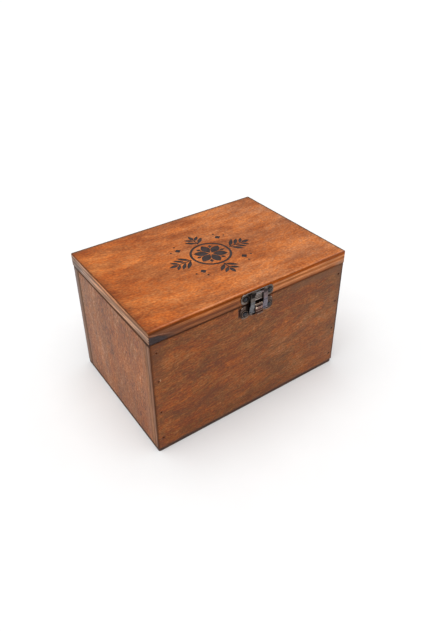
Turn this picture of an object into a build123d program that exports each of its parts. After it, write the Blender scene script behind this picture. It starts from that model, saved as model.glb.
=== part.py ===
from build123d import *
import os

os.makedirs("parts", exist_ok=True)

# ---------------------------------------------------------------------------
# A small hinged plywood box for a deck of cards.
# Millimetres. +Z is up, the front with the latch faces -Y, and the origin is
# the centre of the box's underside.
# ---------------------------------------------------------------------------

# box
W = 180.0            # outside width of the walls, along X
D = 127.4            # outside depth of the walls, along Y
H = 115.2            # height with the lid shut
WALL = 9.0           # plywood of the four walls
BOTTOM_T = 3.0       # thin sheet under the walls
LID_T = 10.4         # lid board
SEAM = 0.4           # gap between the walls and the lid
OVER_SIDE = 0.8      # how far the lid stands out past each side
OVER_FRONT = 0.6     # and past the front
CORNER_R = 0.6       # upright corners of the walls, barely sanded
LID_R = 1.0          # corners of the lid
SHEET_R = 1.4        # corners of the bottom sheet
ARRIS = 0.5          # sanded edges
LID_ARRIS = 0.5      # lid's upper edge

BODY_TOP = H - LID_T - SEAM
LID_Z = H - LID_T
XI = W / 2 - WALL    # inside half width
YI = D / 2 - WALL    # inside half depth
YF = -D / 2          # front plane of the walls
YB = D / 2           # back plane of the walls and the lid

# brads that hold the front and the back to the ends of the side panels
BRAD_HEAD_R = 0.75
BRAD_R = 0.5
BRAD_L = 22.0
BRAD_SET = 0.6       # punched below the surface
PIT_R = 0.8
BRAD_HOLE_R = 0.52
# hand-set, so the two columns differ a little
BRAD_Z_LEFT = (95.8, 69.9, 39.6, 12.9)
BRAD_Z_RIGHT = (95.1, 68.1, 39.4, 11.2)
BRAD_X = 85.5
FRONT_BRADS = [(-BRAD_X, z) for z in BRAD_Z_LEFT] + [(BRAD_X, z) for z in BRAD_Z_RIGHT]
BACK_BRADS = [(-BRAD_X, z) for z in (94.4, 68.6, 38.8, 12.2)] + [
    (BRAD_X, z) for z in (95.2, 67.4, 40.2, 11.9)
]
BOTTOM_BRAD_L = 14.0
BOTTOM_SET = 0.4
BOTTOM_BRADS = [(x, y) for x in (-62, 0, 62) for y in (-(YI + WALL / 2), YI + WALL / 2)] + [
    (x, y) for x in (-(XI + WALL / 2), XI + WALL / 2) for y in (-24, 24)
]

# latch: depths "p" are measured outwards from the front plane of the walls
SHEET = 0.8          # stamped sheet of the plates and the lever
PLATE_W = 30.0
BASE_Z0, BASE_Z1 = 92.6, 104.0
STRIKE_Z0, STRIKE_Z1 = 106.0, 114.3
BASE_NAIL = (11.1, 97.0)
STRIKE_NAIL = (11.1, 110.6)
DOME_R, DOME_H = 1.9, 0.8
TACK_R, TACK_HOLE_R, PLATE_HOLE_R = 0.6, 0.62, 0.66
TACK_L = 6.2
A_P, A_Z = 2.4, 102.4      # lever pivot
B_P, B_Z = 2.3, 97.5       # link pivot, on the lever
BAR_P, BAR_Z = 3.27, 113.1  # link's cross bar, just outside the hook's lip
PIN_R, BORE_R, HELD_BORE_R = 0.5, 0.55, 0.52
BARREL_R = 1.2
LEVER_X = 3.3        # half width of the lever
CHEEK = 0.75
LINK_X0, LINK_X1 = 4.0, 8.4
BEND_P, BEND_Z = 3.45, 105.0   # where the link's arms are bent
RING_R0, RING_R1, RING_H = 2.15, 2.85, 0.2   # raised ring round each tack
LINK_T = 0.9
HOOK_X = 3.3
HOOK_P = 2.5         # outer face of the hook

# butt hinges on the back
HINGE_X = 50.0
HINGE_L = 20.0
LEAF_T = 0.8
LEAF_Z0, LEAF_Z1 = 1.7, 8.7     # from the hinge axis
KNUCKLE_R = 1.4
HPIN_R, HBORE_R = 0.6, 0.65
AXIS_Y = YB + 1.6
AXIS_Z = BODY_TOP + SEAM / 2
MID_X = 3.1          # half length of the middle knuckle
END_X = 3.4          # where the two end knuckles start
SCREW_X, SCREW_Z = 5.6, 5.5
SCREW_HEAD_R, SCREW_HEAD_H = 1.45, 0.5


def y_at(p):
    """Y of a point that stands p outside the front plane."""
    return YF - p


def turned(at, along, profile):
    """A turned solid: (length, radius) points about an axis through at."""
    a = Vector(*along)
    side = Vector(0, 0, 1) if abs(a.Z) < 0.5 else Vector(1, 0, 0)
    with BuildPart() as body:
        with BuildSketch(Plane(origin=at, x_dir=along, z_dir=tuple(a.cross(side)))):
            with BuildLine():
                Polyline(*profile, close=True)
            make_face()
        revolve(axis=Axis(at, along))
    return body.part


def brad(at, along, length):
    """A brad with a small tapered head and a pointed tip."""
    return turned(at, along, [(0, 0), (0, BRAD_HEAD_R - 0.12), (0.12, BRAD_HEAD_R), (0.9, BRAD_HEAD_R),
                       (1.3, BRAD_R), (length - 1.4, BRAD_R), (length, 0)])


def tack(at, along, head_r, head_h, shank_r, length):
    """A domed nail or screw whose head sits on the face at 'at'."""
    dome = [(-head_h * 0.35, head_r * 0.97), (-head_h * 0.68, head_r * 0.8),
            (-head_h * 0.92, head_r * 0.45), (-head_h, 0)]
    return turned(at, along, [(length, 0), (length - 1.2, shank_r), (0, shank_r), (0, head_r)] + dome)


front_view = Plane(origin=(0, YF, 0), x_dir=(1, 0, 0), z_dir=(0, -1, 0))

# ---------------------------------------------------------------------------
# wooden case
# ---------------------------------------------------------------------------

with BuildPart() as front_panel:
    with BuildSketch(Plane(origin=(0, YF + WALL / 2, BOTTOM_T))):
        Rectangle(W, WALL)
    extrude(amount=BODY_TOP - BOTTOM_T)
    fillet(front_panel.edges().filter_by(Axis.Z).group_by(Axis.Y)[0], CORNER_R)
    top = front_panel.faces().sort_by(Axis.Z)[-1]
    fillet(top.edges() - top.edges().filter_by(Axis.X).sort_by(Axis.Y)[-1:], ARRIS)
    with Locations(*[Plane(origin=(x, YF, z), x_dir=(1, 0, 0), z_dir=(0, -1, 0)) for x, z in FRONT_BRADS]):
        CounterBoreHole(BRAD_HOLE_R, PIT_R, BRAD_SET + 1.3)
    with Locations(*[Plane(origin=(x, YF, BASE_NAIL[1]), x_dir=(1, 0, 0), z_dir=(0, -1, 0))
                     for x in (-BASE_NAIL[0], BASE_NAIL[0])]):
        Hole(TACK_HOLE_R, depth=TACK_L)
    with Locations(*[Plane(origin=(x, y, BOTTOM_T), x_dir=(1, 0, 0), z_dir=(0, 0, -1))
                     for x, y in BOTTOM_BRADS if y < -YI]):
        Hole(BRAD_HOLE_R, depth=BOTTOM_BRAD_L)

with BuildPart() as back_panel:
    with BuildSketch(Plane(origin=(0, YB - WALL / 2, BOTTOM_T))):
        Rectangle(W, WALL)
    extrude(amount=BODY_TOP - BOTTOM_T)
    fillet(back_panel.edges().filter_by(Axis.Z).group_by(Axis.Y)[-1], CORNER_R)
    top = back_panel.faces().sort_by(Axis.Z)[-1]
    fillet(top.edges() - top.edges().filter_by(Axis.X).sort_by(Axis.Y)[:1], ARRIS)
    with Locations(*[Plane(origin=(x, YB, z), x_dir=(1, 0, 0), z_dir=(0, 1, 0)) for x, z in BACK_BRADS]):
        CounterBoreHole(BRAD_HOLE_R, PIT_R, BRAD_SET + 1.3)
    with Locations(*[Plane(origin=(s * HINGE_X + dx, YB, AXIS_Z - SCREW_Z), x_dir=(1, 0, 0), z_dir=(0, 1, 0))
                     for s in (-1, 1) for dx in (-SCREW_X, SCREW_X)]):
        Hole(TACK_HOLE_R, depth=TACK_L)
    with Locations(*[Plane(origin=(x, y, BOTTOM_T), x_dir=(1, 0, 0), z_dir=(0, 0, -1))
                     for x, y in BOTTOM_BRADS if y > YI]):
        Hole(BRAD_HOLE_R, depth=BOTTOM_BRAD_L)

with BuildPart() as left_side_panel:
    with BuildSketch(Plane(origin=(-(W - WALL) / 2, 0, BOTTOM_T))):
        Rectangle(WALL, 2 * YI)
    extrude(amount=BODY_TOP - BOTTOM_T)
    fillet(left_side_panel.faces().sort_by(Axis.Z)[-1].edges().filter_by(Axis.Y).sort_by(Axis.X)[0], ARRIS)
    with Locations(*[Plane(origin=(-BRAD_X, -YI, z), x_dir=(1, 0, 0), z_dir=(0, -1, 0)) for z in BRAD_Z_LEFT]):
        Hole(BRAD_HOLE_R, depth=BRAD_L)
    with Locations(*[Plane(origin=(x, YI, z), x_dir=(1, 0, 0), z_dir=(0, 1, 0)) for x, z in BACK_BRADS if x < 0]):
        Hole(BRAD_HOLE_R, depth=BRAD_L)
    with Locations(*[Plane(origin=(x, y, BOTTOM_T), x_dir=(1, 0, 0), z_dir=(0, 0, -1))
                     for x, y in BOTTOM_BRADS if x < -XI]):
        Hole(BRAD_HOLE_R, depth=BOTTOM_BRAD_L)

with BuildPart() as right_side_panel:
    with BuildSketch(Plane(origin=((W - WALL) / 2, 0, BOTTOM_T))):
        Rectangle(WALL, 2 * YI)
    extrude(amount=BODY_TOP - BOTTOM_T)
    fillet(right_side_panel.faces().sort_by(Axis.Z)[-1].edges().filter_by(Axis.Y).sort_by(Axis.X)[-1], ARRIS)
    with Locations(*[Plane(origin=(BRAD_X, -YI, z), x_dir=(1, 0, 0), z_dir=(0, -1, 0)) for z in BRAD_Z_RIGHT]):
        Hole(BRAD_HOLE_R, depth=BRAD_L)
    with Locations(*[Plane(origin=(x, YI, z), x_dir=(1, 0, 0), z_dir=(0, 1, 0)) for x, z in BACK_BRADS if x > 0]):
        Hole(BRAD_HOLE_R, depth=BRAD_L)
    with Locations(*[Plane(origin=(x, y, BOTTOM_T), x_dir=(1, 0, 0), z_dir=(0, 0, -1))
                     for x, y in BOTTOM_BRADS if x > XI]):
        Hole(BRAD_HOLE_R, depth=BOTTOM_BRAD_L)

with BuildPart() as bottom_panel:
    with BuildSketch(Plane.XY):
        RectangleRounded(W, D, SHEET_R)
    extrude(amount=BOTTOM_T)
    fillet(bottom_panel.faces().sort_by(Axis.Z)[0].edges(), 0.4)
    with Locations(*[Plane(origin=(x, y, 0), x_dir=(1, 0, 0), z_dir=(0, 0, -1)) for x, y in BOTTOM_BRADS]):
        CounterBoreHole(BRAD_HOLE_R, PIT_R, BOTTOM_SET + 1.3)

with BuildPart() as lid_panel:
    with BuildSketch(Plane(origin=(0, -OVER_FRONT / 2, LID_Z))):
        RectangleRounded(W + 2 * OVER_SIDE, D + OVER_FRONT, LID_R)
    extrude(amount=LID_T)
    fillet(lid_panel.faces().sort_by(Axis.Z)[-1].edges(), LID_ARRIS)
    fillet(lid_panel.faces().sort_by(Axis.Z)[0].edges(), ARRIS)
    with Locations(*[Plane(origin=(x, YF - OVER_FRONT, STRIKE_NAIL[1]), x_dir=(1, 0, 0), z_dir=(0, -1, 0))
                     for x in (-STRIKE_NAIL[0], STRIKE_NAIL[0])]):
        Hole(TACK_HOLE_R, depth=TACK_L)
    with Locations(*[Plane(origin=(s * HINGE_X + dx, YB, AXIS_Z + SCREW_Z), x_dir=(1, 0, 0), z_dir=(0, 1, 0))
                     for s in (-1, 1) for dx in (-SCREW_X, SCREW_X)]):
        Hole(TACK_HOLE_R, depth=TACK_L)

# ---------------------------------------------------------------------------
# brads
# ---------------------------------------------------------------------------

front_brads = [brad((x, YF + BRAD_SET, z), (0, 1, 0), BRAD_L) for x, z in FRONT_BRADS]
back_brads = [brad((x, YB - BRAD_SET, z), (0, -1, 0), BRAD_L) for x, z in BACK_BRADS]
bottom_brads = [brad((x, y, BOTTOM_SET), (0, 0, 1), BOTTOM_BRAD_L) for x, y in BOTTOM_BRADS]

with BuildPart() as front_nails:
    add(front_brads)

with BuildPart() as back_nails:
    add(back_brads)

with BuildPart() as bottom_nails:
    add(bottom_brads)

# ---------------------------------------------------------------------------
# latch
# ---------------------------------------------------------------------------

# base plate: stamped sheet with two round lobes, and a tongue that comes
# forward from its upper edge and is rolled round the lever's pin
with BuildPart() as latch_base_plate:
    with BuildSketch(front_view):
        with Locations((0, (BASE_Z0 + BASE_Z1) / 2)):
            plate = Rectangle(PLATE_W, BASE_Z1 - BASE_Z0)
        fillet(plate.vertices().group_by(Axis.Z)[0], 3.5)
        fillet(plate.vertices().group_by(Axis.Z)[-1], 0.8)
        with Locations((-6.6, BASE_Z0 - 0.8), (6.6, BASE_Z0 - 0.8)):
            Circle(1.9, mode=Mode.SUBTRACT)
    extrude(amount=SHEET)
    fillet(latch_base_plate.faces().sort_by(Axis.Y)[0].edges(), 0.25)
    with BuildSketch(front_view.offset(SHEET)):
        with Locations((-BASE_NAIL[0], BASE_NAIL[1]), (BASE_NAIL[0], BASE_NAIL[1])):
            Circle(RING_R1)
            Circle(RING_R0, mode=Mode.SUBTRACT)
    extrude(amount=RING_H)
    chamfer(latch_base_plate.faces().sort_by(Axis.Y)[:2].edges(), 0.1)
    with BuildSketch(Plane.YZ.offset(-2.25)):
        with Locations((y_at(A_P), A_Z)):
            Circle(BARREL_R)
        with BuildLine():
            Polyline((y_at(0.5), A_Z + BARREL_R - SHEET), (y_at(A_P), A_Z + BARREL_R - SHEET),
                     (y_at(A_P), A_Z + BARREL_R), (y_at(0.5), A_Z + BARREL_R), close=True)
        make_face()
    extrude(amount=4.5)
    with BuildSketch(Plane.YZ.offset(-3)):
        with Locations((y_at(A_P), A_Z)):
            Circle(BORE_R)
    extrude(amount=6, mode=Mode.SUBTRACT)
    with Locations(*[Plane(origin=(x, YF - SHEET, BASE_NAIL[1]), x_dir=(1, 0, 0), z_dir=(0, -1, 0))
                     for x in (-BASE_NAIL[0], BASE_NAIL[0])]):
        Hole(PLATE_HOLE_R, depth=3)

base_tacks = [tack((x, YF - SHEET, BASE_NAIL[1]), (0, 1, 0), DOME_R, DOME_H, TACK_R, TACK_L + SHEET - 0.3)
              for x in (-BASE_NAIL[0], BASE_NAIL[0])]
with BuildPart() as latch_base_nails:
    add(base_tacks)

# the lever's pin, with a riveted head at each end
with BuildPart() as latch_lever_pin:
    with BuildSketch(Plane(origin=(-3.7, y_at(A_P), A_Z), x_dir=(1, 0, 0), z_dir=(0, -1, 0))):
        with BuildLine():
            Polyline((0, 0), (0, 0.6), (0.1, 0.75), (0.3, 0.75), (0.3, PIN_R), (7.1, PIN_R), (7.1, 0.75),
                     (7.3, 0.75), (7.4, 0.6), (7.4, 0), close=True)
        make_face()
    revolve(axis=Axis((0, y_at(A_P), A_Z), (1, 0, 0)))

# lever: a channel whose two cheeks sit on the pin, with a thumb lip curled
# out at its lower end
with BuildPart() as latch_lever:
    with BuildSketch(Plane.YZ.offset(-LEVER_X)):
        with BuildLine():
            a0, a1 = (y_at(A_P - 1.3), A_Z), (y_at(A_P + 1.3), A_Z)
            ThreePointArc(a0, (y_at(A_P), A_Z + 1.3), a1)
            Line(a1, (y_at(3.7), 98.4))
            ThreePointArc((y_at(3.7), 98.4), (y_at(4.05), 97.0), (y_at(5.0), 95.9))
            ThreePointArc((y_at(5.0), 95.9), (y_at(4.98), 95.45), (y_at(4.5), 95.3))
            ThreePointArc((y_at(4.5), 95.3), (y_at(3.45), 96.0), (y_at(2.95), 96.8))
            Line((y_at(2.95), 96.8), (y_at(2.3), B_Z - 1.15))
            ThreePointArc((y_at(2.3), B_Z - 1.15), (y_at(2.3 - 0.813), B_Z - 0.813), (y_at(1.15), B_Z))
            Line((y_at(1.15), B_Z), a0)
        make_face()
    extrude(amount=2 * LEVER_X)
    # the channel between the cheeks, open at the back and round the barrel
    with BuildSketch(front_view):
        with Locations((0, 99)):
            Rectangle(2 * (LEVER_X - CHEEK), 20)
    extrude(amount=2.9, mode=Mode.SUBTRACT)
    with BuildSketch(front_view):
        with Locations((0, 104)):
            Rectangle(2 * (LEVER_X - CHEEK), 6)
    extrude(amount=6, mode=Mode.SUBTRACT)
    # the tab's rounded end
    with BuildSketch(front_view):
        with Locations((0, 101.3)):
            tab = Rectangle(2 * LEVER_X, 12)
        fillet(tab.vertices().group_by(Axis.Z)[0], 1.7)
    extrude(amount=8, mode=Mode.INTERSECT)
    with BuildSketch(Plane.YZ.offset(-5)):
        with Locations((y_at(A_P), A_Z)):
            Circle(BORE_R)
    extrude(amount=10, mode=Mode.SUBTRACT)
    with BuildSketch(Plane.YZ.offset(-5)):
        with Locations((y_at(B_P), B_Z)):
            Circle(HELD_BORE_R)
    extrude(amount=10, mode=Mode.SUBTRACT)

with BuildPart() as latch_link_pin:
    with BuildSketch(Plane.YZ.offset(-LINK_X1 - 0.1)):
        with Locations((y_at(B_P), B_Z)):
            Circle(PIN_R)
    extrude(amount=2 * LINK_X1 + 0.2)
    chamfer(latch_link_pin.edges().filter_by(GeomType.CIRCLE), 0.1)

# link: a stamped frame that turns on the lever and reaches up round the hook;
# its arms are bent, so that the cross bar leans in over the hook
with BuildPart() as latch_link:
    with BuildSketch(Plane.YZ.offset(-LINK_X1)):
        with BuildLine():
            Polyline((y_at(B_P - LINK_T / 2), B_Z), (y_at(BEND_P - LINK_T / 2), BEND_Z), (y_at(BAR_P - LINK_T / 2), BAR_Z + 0.6),
                     (y_at(BAR_P + LINK_T / 2), BAR_Z + 0.6), (y_at(BEND_P + LINK_T / 2), BEND_Z), (y_at(B_P + LINK_T / 2), B_Z),
                     close=True)
        make_face()
    extrude(amount=2 * LINK_X1)
    with BuildSketch(front_view):
        with BuildLine():
            Polyline((LINK_X0, B_Z - 1), (LINK_X1, B_Z - 1), (LINK_X1, 103.0), (LINK_X1 - 0.5, 103.9),
                     (LINK_X1 - 0.5, BAR_Z + 0.6), (-LINK_X1 + 0.5, BAR_Z + 0.6),
                     (-LINK_X1 + 0.5, 103.9), (-LINK_X1, 103.0), (-LINK_X1, B_Z - 1), (-LINK_X0, B_Z - 1),
                     (-LINK_X0, BAR_Z - 0.55), (LINK_X0, BAR_Z - 0.55), close=True)
        frame_face = make_face()
        fillet(frame_face.vertices().group_by(Axis.Z)[-1], 1.4)
    extrude(amount=8, mode=Mode.INTERSECT)
    rims = latch_link.faces().filter_by(lambda f: f.normal_at().Y < -0.9).edges()
    chamfer(rims.filter_by(lambda e: e.center().Z < BEND_Z - 0.1 and abs(e.center().X) > LINK_X0 - 0.1), 0.15)
    rims = latch_link.faces().filter_by(lambda f: f.normal_at().Y < -0.99).sort_by(Axis.Z)[-1].edges()
    chamfer(rims.filter_by(lambda e: e.center().Z > BEND_Z + 0.1), 0.15)
    with BuildSketch(Plane.YZ.offset(LINK_X0)):
        with Locations((y_at(B_P), B_Z)):
            Circle(1.05)
    extrude(amount=LINK_X1 - LINK_X0)
    with BuildSketch(Plane.YZ.offset(-LINK_X1)):
        with Locations((y_at(B_P), B_Z)):
            Circle(1.05)
    extrude(amount=LINK_X1 - LINK_X0)
    with BuildSketch(Plane.YZ.offset(-10)):
        with Locations((y_at(B_P), B_Z)):
            Circle(BORE_R)
    extrude(amount=20, mode=Mode.SUBTRACT)

# strike plate on the lid's edge: its middle is cut and bent out into an
# upright hook, which leaves a window in the plate behind it
with BuildPart() as latch_strike_plate:
    with BuildSketch(front_view.offset(OVER_FRONT)):
        with Locations((0, (STRIKE_Z0 + STRIKE_Z1) / 2)):
            plate = Rectangle(PLATE_W, STRIKE_Z1 - STRIKE_Z0)
        fillet(plate.vertices().group_by(Axis.Z)[0], 3.2)
        fillet(plate.vertices().group_by(Axis.Z)[-1], 0.6)
    extrude(amount=SHEET)
    fillet(latch_strike_plate.faces().sort_by(Axis.Y)[0].edges(), 0.25)
    with BuildSketch(front_view.offset(OVER_FRONT)):
        with Locations((0, 109.4)):
            Rectangle(2 * HOOK_X + 0.6, 4.0)
    extrude(amount=SHEET, mode=Mode.SUBTRACT)
    with BuildSketch(Plane.YZ.offset(-HOOK_X)):
        with BuildLine():
            Line((y_at(0.6), 106.0), (y_at(1.5), 106.0))
            ThreePointArc((y_at(1.5), 106.0), (y_at(2.25), 106.35), (y_at(HOOK_P), 107.2))
            Line((y_at(HOOK_P), 107.2), (y_at(HOOK_P), 111.75))
            ThreePointArc((y_at(HOOK_P), 111.75), (y_at(HOOK_P - 0.35), 112.1), (y_at(HOOK_P - 0.7), 111.75))
            Line((y_at(HOOK_P - 0.7), 111.75), (y_at(HOOK_P - 0.7), 107.8))
            ThreePointArc((y_at(HOOK_P - 0.7), 107.8), (y_at(1.65), 107.5), (y_at(1.3), 107.4))
            Line((y_at(1.3), 107.4), (y_at(0.6), 107.4))
            Line((y_at(0.6), 107.4), (y_at(0.6), 106.0))
        make_face()
    extrude(amount=2 * HOOK_X)
    # ribs pressed across the hook's face
    with BuildSketch(Plane.YZ.offset(-HOOK_X - 0.1)):
        with Locations(*[(y_at(HOOK_P), z) for z in (108.1, 109.4, 110.7)]):
            Rectangle(0.6, 0.5)
    extrude(amount=2 * HOOK_X + 0.2, mode=Mode.SUBTRACT)
    with BuildSketch(front_view.offset(OVER_FRONT + SHEET)):
        with Locations((-STRIKE_NAIL[0], STRIKE_NAIL[1]), (STRIKE_NAIL[0], STRIKE_NAIL[1])):
            Circle(RING_R1)
            Circle(RING_R0, mode=Mode.SUBTRACT)
    extrude(amount=RING_H)
    with Locations(*[Plane(origin=(x, YF - OVER_FRONT - SHEET, STRIKE_NAIL[1]), x_dir=(1, 0, 0), z_dir=(0, -1, 0))
                     for x in (-STRIKE_NAIL[0], STRIKE_NAIL[0])]):
        Hole(PLATE_HOLE_R, depth=SHEET)

strike_tacks = [tack((x, YF - OVER_FRONT - SHEET, STRIKE_NAIL[1]), (0, 1, 0), DOME_R, DOME_H, TACK_R,
                     TACK_L + SHEET - 0.3) for x in (-STRIKE_NAIL[0], STRIKE_NAIL[0])]
with BuildPart() as latch_strike_nails:
    add(strike_tacks)

# ---------------------------------------------------------------------------
# hinges
# ---------------------------------------------------------------------------

hinges = {}
for side, xc in (("left", -HINGE_X), ("right", HINGE_X)):
    back_view = Plane(origin=(xc, YB, AXIS_Z), x_dir=(-1, 0, 0), z_dir=(0, 1, 0))

    with BuildPart() as lower_leaf:
        with BuildSketch(back_view):
            with Locations((0, -(LEAF_Z0 + LEAF_Z1) / 2)):
                leaf = Rectangle(HINGE_L, LEAF_Z1 - LEAF_Z0)
            fillet(leaf.vertices().group_by(Axis.Z)[0], 1.2)
        extrude(amount=LEAF_T)
        for x0, x1 in ((-HINGE_L / 2, -END_X), (END_X, HINGE_L / 2)):
            with BuildSketch(Plane.YZ.offset(xc + x0)):
                with Locations((AXIS_Y, AXIS_Z)):
                    Circle(KNUCKLE_R)
                with BuildLine():
                    Polyline((YB, AXIS_Z - LEAF_Z0 - 0.5), (YB + LEAF_T, AXIS_Z - LEAF_Z0 - 0.5),
                             (YB + LEAF_T, AXIS_Z), (YB + 0.2, AXIS_Z - 0.2), (YB, AXIS_Z - 1.0), close=True)
                make_face()
            extrude(amount=x1 - x0)
        with BuildSketch(Plane.YZ.offset(xc - HINGE_L)):
            with Locations((AXIS_Y, AXIS_Z)):
                Circle(HBORE_R)
        extrude(amount=2 * HINGE_L, mode=Mode.SUBTRACT)
        with Locations(*[Plane(origin=(xc + dx, YB + LEAF_T, AXIS_Z - SCREW_Z), x_dir=(1, 0, 0), z_dir=(0, 1, 0))
                         for dx in (-SCREW_X, SCREW_X)]):
            Hole(PLATE_HOLE_R, depth=LEAF_T)
    hinges[f"{side}_hinge_lower_leaf"] = lower_leaf

    with BuildPart() as upper_leaf:
        with BuildSketch(back_view):
            with Locations((0, (LEAF_Z0 + LEAF_Z1) / 2)):
                leaf = Rectangle(HINGE_L, LEAF_Z1 - LEAF_Z0)
            fillet(leaf.vertices().group_by(Axis.Z)[-1], 1.2)
        extrude(amount=LEAF_T)
        with BuildSketch(Plane.YZ.offset(xc - MID_X)):
            with Locations((AXIS_Y, AXIS_Z)):
                Circle(KNUCKLE_R)
            with BuildLine():
                Polyline((YB, AXIS_Z + LEAF_Z0 + 0.5), (YB + LEAF_T, AXIS_Z + LEAF_Z0 + 0.5),
                         (YB + LEAF_T, AXIS_Z), (YB + 0.2, AXIS_Z + 0.2), (YB, AXIS_Z + 1.0), close=True)
            make_face()
        extrude(amount=2 * MID_X)
        with BuildSketch(Plane.YZ.offset(xc - HINGE_L)):
            with Locations((AXIS_Y, AXIS_Z)):
                Circle(HBORE_R)
        extrude(amount=2 * HINGE_L, mode=Mode.SUBTRACT)
        with Locations(*[Plane(origin=(xc + dx, YB + LEAF_T, AXIS_Z + SCREW_Z), x_dir=(1, 0, 0), z_dir=(0, 1, 0))
                         for dx in (-SCREW_X, SCREW_X)]):
            Hole(PLATE_HOLE_R, depth=LEAF_T)
    hinges[f"{side}_hinge_upper_leaf"] = upper_leaf

    with BuildPart() as hinge_pin:
        with BuildSketch(Plane(origin=(xc - HINGE_L / 2 - 0.4, AXIS_Y, AXIS_Z), x_dir=(1, 0, 0), z_dir=(0, -1, 0))):
            with BuildLine():
                Polyline((0, 0), (0, 0.7), (0.12, 0.95), (0.35, 0.95), (0.35, HPIN_R), (HINGE_L + 0.45, HPIN_R),
                         (HINGE_L + 0.45, 0.95), (HINGE_L + 0.68, 0.95), (HINGE_L + 0.8, 0.7),
                         (HINGE_L + 0.8, 0), close=True)
            make_face()
        revolve(axis=Axis((0, AXIS_Y, AXIS_Z), (1, 0, 0)))
    hinges[f"{side}_hinge_pin"] = hinge_pin

lower_screws, upper_screws = (
    [tack((s * HINGE_X + dx, YB + LEAF_T, AXIS_Z + dz), (0, -1, 0), SCREW_HEAD_R, SCREW_HEAD_H, TACK_R,
          TACK_L + LEAF_T - 0.3) for s in (-1, 1) for dx in (-SCREW_X, SCREW_X)]
    for dz in (-SCREW_Z, SCREW_Z)
)
with BuildPart() as hinge_lower_screws:
    add(lower_screws)

with BuildPart() as hinge_upper_screws:
    add(upper_screws)

# ---------------------------------------------------------------------------

pieces = {
    "front_panel": front_panel,
    "back_panel": back_panel,
    "left_side_panel": left_side_panel,
    "right_side_panel": right_side_panel,
    "bottom_panel": bottom_panel,
    "lid_panel": lid_panel,
    "front_nails": front_nails,
    "back_nails": back_nails,
    "bottom_nails": bottom_nails,
    "latch_base_plate": latch_base_plate,
    "latch_base_nails": latch_base_nails,
    "latch_lever_pin": latch_lever_pin,
    "latch_lever": latch_lever,
    "latch_link_pin": latch_link_pin,
    "latch_link": latch_link,
    "latch_strike_plate": latch_strike_plate,
    "latch_strike_nails": latch_strike_nails,
    "hinge_lower_screws": hinge_lower_screws,
    "hinge_upper_screws": hinge_upper_screws,
    **hinges,
}
for name, piece in pieces.items():
    piece.part.label = name
    export_step(piece.part, f"parts/{name}.step")
    print(f"{name}: {len(piece.part.solids())} solid(s), {piece.part.volume:.2f} mm3")
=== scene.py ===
import math

import bmesh
import bpy
import numpy as np
from mathutils import Matrix, Vector, noise
from mathutils.geometry import delaunay_2d_cdt


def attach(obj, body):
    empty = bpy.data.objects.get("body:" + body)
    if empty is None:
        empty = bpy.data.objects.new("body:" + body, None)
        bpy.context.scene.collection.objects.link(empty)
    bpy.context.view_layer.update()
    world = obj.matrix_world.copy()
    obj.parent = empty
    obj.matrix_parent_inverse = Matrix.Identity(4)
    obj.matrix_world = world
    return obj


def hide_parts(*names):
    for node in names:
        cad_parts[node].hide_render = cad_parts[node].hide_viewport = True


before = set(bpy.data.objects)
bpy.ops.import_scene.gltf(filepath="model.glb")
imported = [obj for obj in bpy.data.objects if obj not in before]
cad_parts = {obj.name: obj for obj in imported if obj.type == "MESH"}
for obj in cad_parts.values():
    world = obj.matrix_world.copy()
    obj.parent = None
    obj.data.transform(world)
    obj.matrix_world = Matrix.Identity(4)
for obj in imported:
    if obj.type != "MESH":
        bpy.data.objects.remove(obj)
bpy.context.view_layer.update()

MM = 0.001

# ---------------------------------------------------------------------------
# the box in millimetres, as the frame has it
# ---------------------------------------------------------------------------
W, D, H = 180.0, 127.4, 115.2
WALL, BOTTOM_T, LID_T = 9.0, 3.0, 10.4
BODY_TOP, LID_Z = 104.4, 104.8
OVER_SIDE, OVER_FRONT = 0.8, 0.6
XI, YI = W / 2 - WALL, D / 2 - WALL
BRADS_LEFT, BRADS_RIGHT, BRAD_X = (95.8, 69.9, 39.6, 12.9), (95.1, 68.1, 39.4, 11.2), 85.5
BACK_LEFT, BACK_RIGHT = (94.4, 68.6, 38.8, 12.2), (95.2, 67.4, 40.2, 11.9)
BOTTOM_BRADS = [(x, y) for x in (-62, 0, 62) for y in (-(YI + WALL / 2), YI + WALL / 2)] + [
    (x, y) for x in (-(XI + WALL / 2), XI + WALL / 2) for y in (-24, 24)]


# ---------------------------------------------------------------------------
# node graphs
# ---------------------------------------------------------------------------
def lin(r, g, b):
    """sRGB 0-255 to linear, with an alpha of 1."""
    return tuple((v / 255 / 12.92 if v <= 10.3 else ((v / 255 + 0.055) / 1.055) ** 2.4) for v in (r, g, b)) + (1.0,)


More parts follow.
